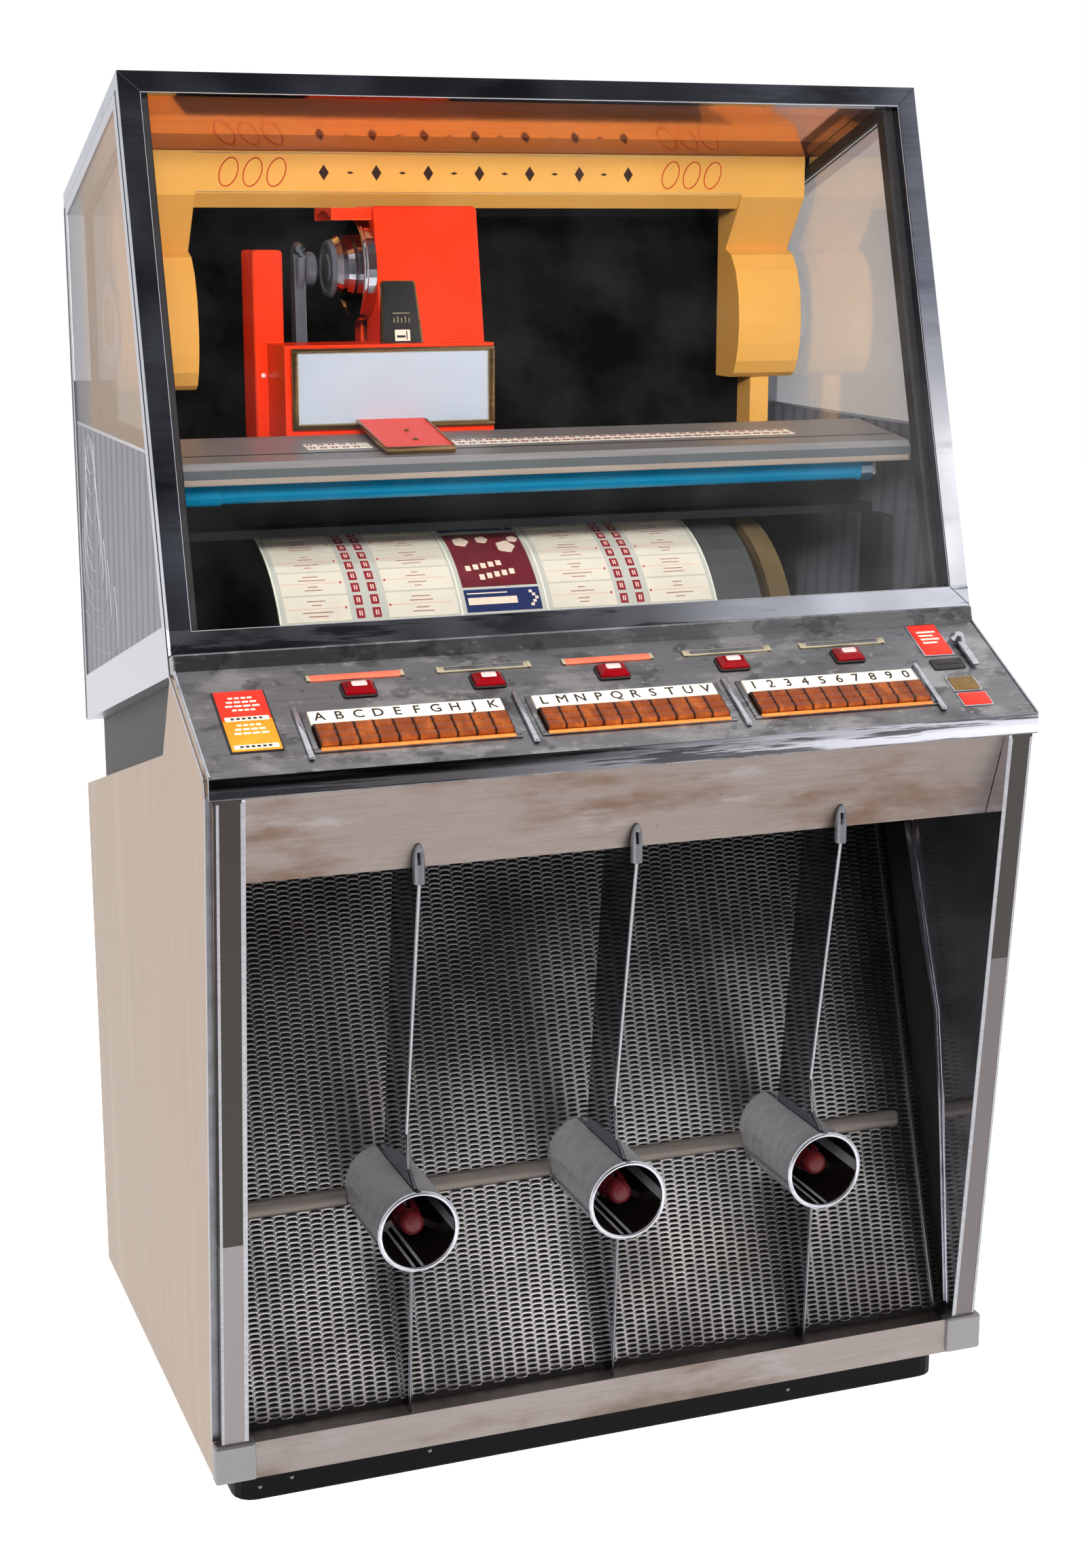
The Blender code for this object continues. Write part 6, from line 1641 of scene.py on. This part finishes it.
def gauge_plate():
    """The dark plate with a small window on the leaning face of the tower."""
    lean = math.atan2(0.043, 0.2459)
    z = 1.1890
    y = 0.300 + 0.043 * (z - 1.0640) / 0.2459
    place = TO_FLOOR @ Matrix.Translation((-0.1300, y, z)) @ Matrix.Rotation(math.pi / 2 - lean, 4, "X")
    outline = [
        (-0.0250, -0.040),
        (0.0250, -0.040),
        (0.0185, 0.041),
        (0.0160, 0.044),
        (-0.0180, 0.044),
        (-0.0205, 0.041),
    ]
    slab("gauge_frame", outline, 0.0001, 0.0040, place, BRONZE, "record_carriage", 0.0012)
    inner = [(a * 0.87, -0.0375 + (b + 0.040) * 0.945) for a, b in outline]
    slab("gauge_plate", inner, 0.0035, 0.0046, place, DARK_PLATE, "record_carriage", 0.0003)
    blocks(
        "gauge_window",
        [((-0.0085, -0.0205, 0.0044), (0.0085, -0.0085, 0.0052))],
        place,
        PALE_PRINT,
        "record_carriage",
        0.0004,
    )
    blocks(
        "gauge_needle",
        [
            ((-0.0065, -0.0170, 0.0051), (0.0030, -0.0145, 0.0055)),
            ((0.0040, -0.0190, 0.0051), (0.0052, -0.0100, 0.0055)),
        ],
        place,
        DARK_PLATE,
        "record_carriage",
        0.0,
    )
    marks = []
    for k in range(5):
        marks.append(
            ((-0.0090 + k * 0.0042, -0.0010, 0.0045), (-0.0078 + k * 0.0042, 0.0040 + 0.0015 * (k % 2), 0.0050))
        )
    marks.append(((-0.0095, 0.0085, 0.0045), (0.0095, 0.0096, 0.0050)))
    blocks("gauge_marks", marks, place, GOLD, "record_carriage", 0.0)


def pointer_plate():
    """Bronze lip and screws on the pointer that reads along the scale."""
    y_low, y_high = 0.185, 0.2930
    z_low, z_high = 1.0614 + 0.003, 1.0747 + 0.012
    angle = math.atan2(z_high - z_low, y_high - y_low)
    place = TO_FLOOR @ Matrix.Translation((-0.1525, y_low, z_low + 0.0036)) @ Matrix.Rotation(angle, 4, "X")
    blocks(
        "pointer_lip",
        [
            ((-0.0375, -0.0022, -0.0062), (0.0375, 0.0010, 0.0016)),
            ((-0.0385, -0.0010, -0.0036), (-0.0365, 0.1020, 0.0014)),
            ((0.0365, -0.0010, -0.0036), (0.0385, 0.1020, 0.0014)),
        ],
        place,
        BRONZE,
        "record_carriage",
        0.0006,
    )
    heads = [place @ Matrix.Translation((0.004, 0.030, 0.0)), place @ Matrix.Translation((0.004, 0.062, 0.0))]
    studs("pointer_screws", heads, 0.0030, 0.0018, BRONZE, "record_carriage")


def cover_details():
    """The column's screw, and the turntable's rings and bright rim."""
    studs("column_screw", [upright(-0.2705, 0.3660, 1.1330)], 0.0028, 0.0014, PALE_PRINT, "record_carriage")
    axis = TO_FLOOR @ Matrix.Translation((0.0, *SPINDLE)) @ Matrix.Rotation(math.pi / 2, 4, "Y")
    lathe(
        "turntable_rings",
        [
            (0.0, -0.1945),
            (0.014, -0.1945),
            (0.016, -0.1925),
            (0.023, -0.1925),
            (0.025, -0.1945),
            (0.029, -0.1940),
            (0.031, -0.1905),
            (0.031, -0.1850),
            (0.0, -0.1850),
        ],
        axis,
        ARM,
        "record_turntable",
        48,
    )
    ring = []
    rim_radius = 0.0535
    for k in range(56):
        turn = 2 * math.pi * k / 56
        ring.append(
            (-0.1640, SPINDLE[0] + rim_radius * math.cos(turn), SPINDLE[1] + rim_radius * math.sin(turn))
        )
    rod("turntable_rim", [ring], 0.0030, TO_FLOOR, BRIGHT, "record_turntable", 10, closed=True)


def arm_hook():
    """The hooked top and the pad of the pickup arm."""
    place = TO_FLOOR @ Matrix.Translation((-0.2250, *SPINDLE))
    hook = [
        (0.0, -0.004, -0.020),
        (0.0, -0.012, -0.004),
        (0.0, -0.016, 0.012),
        (0.0, -0.012, 0.021),
        (0.0, 0.001, 0.024),
        (0.0, 0.011, 0.018),
    ]
    rod("arm_hook", [hook], 0.0050, place, ARM, "pickup_arm", 12)
    lathe(
        "arm_pad",
        [(0.0, 0.0), (0.015, 0.0), (0.018, 0.003), (0.018, 0.010), (0.014, 0.013), (0.0, 0.013)],
        place @ Matrix.Rotation(math.pi / 2, 4, "Y") @ Matrix.Translation((0.0, 0.0, 0.0055)),
        ARM,
        "pickup_arm",
        32,
    )


# ---------------------------------------------------------------- header and canopy


def header_front():
    """A row of lozenges, ovals at its ends and thin rules on the band."""
    top = 1.3686
    low = top - 0.0445
    half = 0.3225
    place = upright(0.0, 0.4360, 0.0)
    blocks(
        "header_rules",
        [
            ((-half, low + 0.0010, 0.0), (half, low + 0.0018, 0.0004)),
            ((-half, top - 0.0025, 0.0), (half, top - 0.0017, 0.0004)),
        ],
        place,
        GOLD,
        "cabinet",
        0.0,
    )
    marks = bmesh.new()
    middle = (top + low) / 2
    for k in range(13):
        x = (k - 6) * 0.0300
        wide, tall = (0.0045, 0.0016) if k % 2 else (0.0058, 0.0085)
        add_flat(marks, [(x - wide, middle), (x, middle - tall), (x + wide, middle), (x, middle + tall)])
    put("header_lozenges", mesh_of(marks, "header_lozenges"), place, BROWN_PRINT, "cabinet", 0)
    rings = []
    for side in (-1, 1):
        for k in range(3):
            x = side * (0.2330 + k * 0.0265)
            ring = []
            for step in range(28):
                turn = 2 * math.pi * step / 28
                lean = x + 0.0100 * math.cos(turn) + 0.0040 * math.sin(turn)
                ring.append((lean, middle + 0.0150 * math.sin(turn), 0.0003))
            rings.append(ring)
    rod("header_ovals", rings, 0.0007, place, RED_PRINT, "cabinet", 6, closed=True)


def add_flat(shape, outline, out=0.0003):
    low = [shape.verts.new((a, b, 0.0)) for a, b in outline]
    high = [shape.verts.new((a, b, out)) for a, b in outline]
    skin(shape, (low, high))


def canopy_lining():
    """Back cloth and polished roof lining, the lining with a painted reflection of the header."""
    cloth = [((-INNER_HALF, 0.985, 0.0), (INNER_HALF, 1.300, 0.0012))]
    blocks("canopy_back_cloth", cloth, upright(0.0, 0.5655, 0.0), BACK_CLOTH, "cabinet", 0.0)
    slope = math.radians(18.8)
    front, rear, ridge = 0.244, 0.578, 1.438
    margin = 0.0270
    length = (rear - front) / math.cos(slope)
    place = TO_FLOOR @ Matrix.Translation((0.0, front, ridge)) @ Matrix.Rotation(-slope, 4, "X")
    lining = [((-INNER_HALF, margin, -0.0034), (INNER_HALF, length - margin, -0.0024))]
    blocks("roof_lining", lining, place, ROOF_LINING_PAINTED_REFLECTION, "lid", 0.0)


def flat_between(name, outlines, x_low, x_high, finish):
    """Thin sheets that face sideways, from outlines of depths and heights, as one piece."""
    shape = bmesh.new()
    for outline in outlines:
        near = [shape.verts.new((x_low, y, z)) for y, z in outline]
        far = [shape.verts.new((x_high, y, z)) for y, z in outline]
        skin(shape, (near, far))
    return put(name, mesh_of(shape, name), TO_FLOOR, finish, "cabinet", 0)


def side_panels():
    """In each side window: clear glass above a pale rule with a faint sheet on it as a painted reflection, and
    a striped and ringed panel below it.
    """
    opening = [(0.1716, 1.0737), (0.5631, 1.0737), (0.5631, 1.3012), (0.2678, 1.4018)]
    lower = [(0.1228, 0.9074), (0.5631, 0.7840), (0.5631, 1.0735), (0.1714, 1.0735)]
    rear = [(0.5725, 0.7310), (0.5778, 0.7290), (0.5778, 1.3080), (0.5725, 1.3098)]
    bellies = (
        (1.0221, 0.0275),
        (1.0000, 0.0300),
        (0.9694, 0.0330),
        (0.9354, 0.0370),
        (0.9140, 0.0440),
        (0.8914, 0.0550),
        (0.8710, 0.0735),
        (0.8520, 0.0920),
        (0.8273, 0.1280),
    )
    ring_top = 1.0640
    ring_middle = 0.4900
    belly_rise = 0.030
    for side, name in SIDES:
        sheet_x = sorted((side * 0.4376, side * 0.4384))
        edge = sorted((side * 0.4401, side * 0.4404))
        flat_between(f"side_window_painted_reflection_{name}", [opening], *sheet_x, WINDOW_PAINTED_REFLECTION)
        flat_between(f"side_stripe_panel_{name}", [lower], *sheet_x, SIDE_PANEL)
        flat_between(f"side_rear_line_{name}", [rear], *edge, DARK_PLATE)
        line = bmesh.new()
        block_shape(line, (sheet_x[0] - 0.0003, 0.1716, 1.0718), (sheet_x[1] + 0.0003, 0.5628, 1.0752), 0.0003)
        put(f"side_rule_{name}", mesh_of(line, "side_rule"), TO_FLOOR, RING_PRINT, "cabinet")
        rings = []
        for low, wide in bellies:
            belly = low + belly_rise
            heights = [belly - belly_rise * math.cos(0.5 * math.pi * k / 8) for k in range(8)]
            heights += [belly + min(ring_top - belly, 0.055) * k / 12 for k in range(13)]
            for way in (-1, 1):
                ring = []
                for z in heights:
                    if z < belly:
                        out = wide * math.sqrt(max(0.0, 1.0 - ((belly - z) / belly_rise) ** 2))
                    else:
                        out = wide * math.cos(0.5 * math.pi * (z - belly) / (ring_top - belly))
                    y = ring_middle + way * out
                    if y < 0.5600 and z > 0.7880 + 0.2803 * (0.5631 - y):
                        ring.append((side * 0.4387, y, z))
                rings.append(ring)
        rod(f"side_rings_{name}", rings, 0.0004, TO_FLOOR, RING_PRINT, "cabinet", 6)


def canopy_trim():
    """Beads round the glass and the mitres of the lid's front frame."""
    half = HALF - 0.021
    low, high = 0.021, 0.5746 - 0.020
    bead = [(a, b, -0.0015) for a, b in rectangle(-half, half, low, high, 0.001, 2)]
    rod("lid_glass_bead", [bead], 0.0013, CANOPY.place(0.0, 0.0, 0.0), BRIGHT, "lid", 8, closed=True)
    lines = []
    for sx in (-1, 1):
        for a, b in (((HALF - 0.0005, 0.0008), (half, low)), ((HALF - 0.0005, 0.5738), (half, high))):
            lines.append([(sx * a[0], a[1], 0.0001), (sx * b[0], b[1], 0.0001)])
    rod("lid_mitres", lines, 0.0004, CANOPY.place(0.0, 0.0, 0.0), DARK_PLATE, "lid", 6)


def side_trim():
    """The bright angle along the front edge of each laminate side, and the plinth's studs."""
    for side, name in SIDES:
        path = [(0.0905, 0.8665), (-0.0510, 0.7915), (-0.0530, 0.7750), (0.0135, 0.0900)]
        width = 0.0042
        strips = []
        for (a, b), (c, d) in zip(path, path[1:]):
            direction = Vector((c - a, d - b)).normalized()
            normal = Vector((-direction.y, direction.x)) * width
            strips.append([(a, b), (c, d), (c + normal.x, d + normal.y), (a + normal.x, b + normal.y)])
        flat_between(f"side_edge_trim_{name}", strips, *sorted((side * 0.4400, side * 0.4412)), SATIN)
        front = [(-0.0532, 0.7750), (0.0133, 0.0900), (0.0100, 0.0897), (-0.0540, 0.7749)]
        flat_between(f"side_front_trim_{name}", [front], *sorted((side * 0.4345, side * 0.4412)), DIM_SATIN)
    heads = [
        upright(x, 0.0390, z)
        for x, z in ((-0.3866, 0.0140), (-0.3523, 0.0185), (-0.2012, 0.0198), (0.2220, 0.0140))
    ]
    studs("plinth_studs", heads, 0.0024, 0.0012, DIM_SATIN, "cabinet")


def post_trim():
    """The folded edges that run down the inner side of each post."""
    strips = []
    for side in (-1, 1):
        for x, width in ((side * 0.4085, 0.0022), (side * 0.4325, 0.0014)):
            strips.append([(x, -0.0655, 0.7705), (x, -0.0005, 0.0905), width])
    shape = bmesh.new()
    for top, bottom, width in strips:
        rings = []
        for x, y, z in (top, bottom):
            corners = (
                (x - width, y - 0.0004), (x + width, y - 0.0004), (x + width, y + 0.002), (x - width, y + 0.002)
            )
            rings.append([shape.verts.new((a, b, z)) for a, b in corners])
        skin(shape, rings)
    put("post_edges", mesh_of(shape, "post_edges"), TO_FLOOR, SATIN, "cabinet", 0)


# ---------------------------------------------------------------- making the object

grille_mesh()
grille_trim()
fin_edges()
tail_lenses()
deck_face()
deck_labels()
deck_trim()
drum_cards()
drum_wheel()
rail_scale()
front_panel()
gauge_plate()
pointer_plate()
cover_details()
arm_hook()
header_front()
canopy_lining()
side_panels()
canopy_trim()
side_trim()
post_trim()
lamp_sleeve()
jewel_painted_highlights()
cheek_edges()
header_rounds()


# ---------------------------------------------------------------- stage, lamps and camera


def seen_directly(tree):
    """1 for the rays that show the backdrop itself, and 0 for those that only light the object."""
    path = wire(tree, "ShaderNodeLightPath")
    shown = math_node(tree, "ADD", path.outputs["Is Camera Ray"], path.outputs["Is Glossy Ray"], clamp=True)
    return math_node(tree, "ADD", shown, path.outputs["Is Transmission Ray"], clamp=True)


def stage_floor():
    mesh = bpy.data.meshes.new("floor")
    mesh.from_pydata([(-9, -9, 0), (9, -9, 0), (9, 9, 0), (-9, 9, 0)], [], [(0, 1, 2, 3)])
    floor = bpy.data.objects.new("floor", mesh)
    SCENE.collection.objects.link(floor)
    made = Finish("floor_white", (0.93, 0.93, 0.93), 0.9)
    tree = made.tree
    scaled = math_node(tree, "MULTIPLY", seen_directly(tree), 0.78)
    glow = wire(tree, "ShaderNodeEmission", [("Color", (1.0, 1.0, 1.0, 1.0)), ("Strength", scaled)])
    both = wire(tree, "ShaderNodeAddShader", [(0, made.shader.outputs[0]), (1, glow.outputs[0])])
    tree.links.new(both.outputs[0], tree.nodes["Material Output"].inputs["Surface"])
    mesh.materials.append(made.material)


def dark_card(name, centre, aim, width, height, tone, fade):
    """A dark studio flag that only polished surfaces see, and that pales from one side on."""
    mesh = bpy.data.meshes.new(name)
    w, h = width / 2, height / 2
    mesh.from_pydata([(-w, -h, 0), (w, -h, 0), (w, h, 0), (-w, h, 0)], [], [(0, 1, 2, 3)])
    card = bpy.data.objects.new(name, mesh)
    SCENE.collection.objects.link(card)
    card.location = centre
    card.rotation_euler = (Vector(aim) - Vector(centre)).to_track_quat("Z", "Y").to_euler()
    made = Finish(name + "_black", (0.0, 0.0, 0.0), 1.0, specular=0.0)
    streaks = made.use(GRAIN, Density=(3.4, 3.4, 0.7), Detail=4.0)
    span = [("From Min", 0.42), ("From Max", 0.68), ("To Min", tone * 0.4), ("To Max", tone * 4.5)]
    dim = wire(made.tree, "ShaderNodeMapRange", [("Value", streaks), *span]).outputs[0]
    where = wire(made.tree, "ShaderNodeTexCoord").outputs["Object"]
    slant = [(0, where), (1, (-1.0, -0.6, 0.0))]
    across = wire(made.tree, "ShaderNodeVectorMath", slant, operation="DOT_PRODUCT").outputs["Value"]
    span = [("From Min", fade), ("From Max", fade + 0.9), ("To Min", 0.0), ("To Max", 1.3)]
    rise = wire(made.tree, "ShaderNodeMapRange", [("Value", across), *span]).outputs[0]
    lifted = math_node(made.tree, "MULTIPLY", math_node(made.tree, "MULTIPLY", rise, streaks), 1.3)
    shade = math_node(made.tree, "ADD", dim, lifted)
    grey = wire(made.tree, "ShaderNodeCombineColor", [(0, shade), (1, shade), (2, shade)])
    made.tree.links.new(grey.outputs[0], made.shader.inputs["Emission Color"])
    made.shader.inputs["Emission Strength"].default_value = 1.0
    mesh.materials.append(made.material)
    for ray in ("camera", "diffuse", "volume_scatter", "shadow"):
        setattr(card, "visible_" + ray, False)


def lamp(name, place, aim, size, power, colour=(1.0, 1.0, 1.0), spread=180.0):
    data = bpy.data.lights.new(name, "AREA")
    data.shape = "RECTANGLE"
    data.size, data.size_y = size
    data.energy = power
    data.spread = math.radians(spread)
    data.color = colour
    obj = bpy.data.objects.new(name, data)
    SCENE.collection.objects.link(obj)
    obj.location = place
    obj.rotation_euler = (Vector(aim) - Vector(place)).to_track_quat("-Z", "Y").to_euler()
    obj.visible_glossy = False
    obj.visible_transmission = False


def world_light():
    world = bpy.data.worlds.new("studio")
    SCENE.world = world
    world.use_nodes = True
    tree = world.node_tree
    shade = tree.nodes["Background"]
    strength = wire(
        tree, "ShaderNodeMapRange", [("Value", seen_directly(tree)), ("To Min", 0.45), ("To Max", 1.0)]
    )
    shade.inputs["Color"].default_value = (1.0, 1.0, 1.0, 1.0)
    tree.links.new(strength.outputs[0], shade.inputs["Strength"])


stage_floor()
world_light()
lamp("key_lamp", (-2.2, -3.2, 2.9), (0.0, 0.0, 0.8), (1.6, 1.6), 50.0, (1.0, 0.97, 0.93))
lamp("fill_lamp", (2.6, -2.6, 2.0), (0.0, 0.0, 0.8), (1.4, 2.0), 22.0, (0.97, 0.985, 1.0))
lamp("canopy_lamp", (-0.5, -2.3, 1.95), (0.0, 0.1, 1.22), (1.2, 0.5), 11.0, spread=55.0)
lamp("low_lamp", (0.1, -2.6, 0.75), (0.0, 0.03, 0.32), (1.0, 0.5), 7.0, spread=50.0)
dark_card("flag_front", (0.4, -3.4, 2.65), (0.4, 0.0, 2.65), 6.6, 5.3, 0.05, 1.35)

camera_data = bpy.data.cameras.new("camera")
camera_data.lens = 54.99
camera_data.sensor_width = 36.0
camera = bpy.data.objects.new("camera", camera_data)
SCENE.collection.objects.link(camera)
camera.location = (-0.906, -2.4385, 1.291)
camera.rotation_euler = (math.radians(76.86), 0.0, math.radians(-20.58))
SCENE.camera = camera
SCENE.view_settings.view_transform = "Standard"
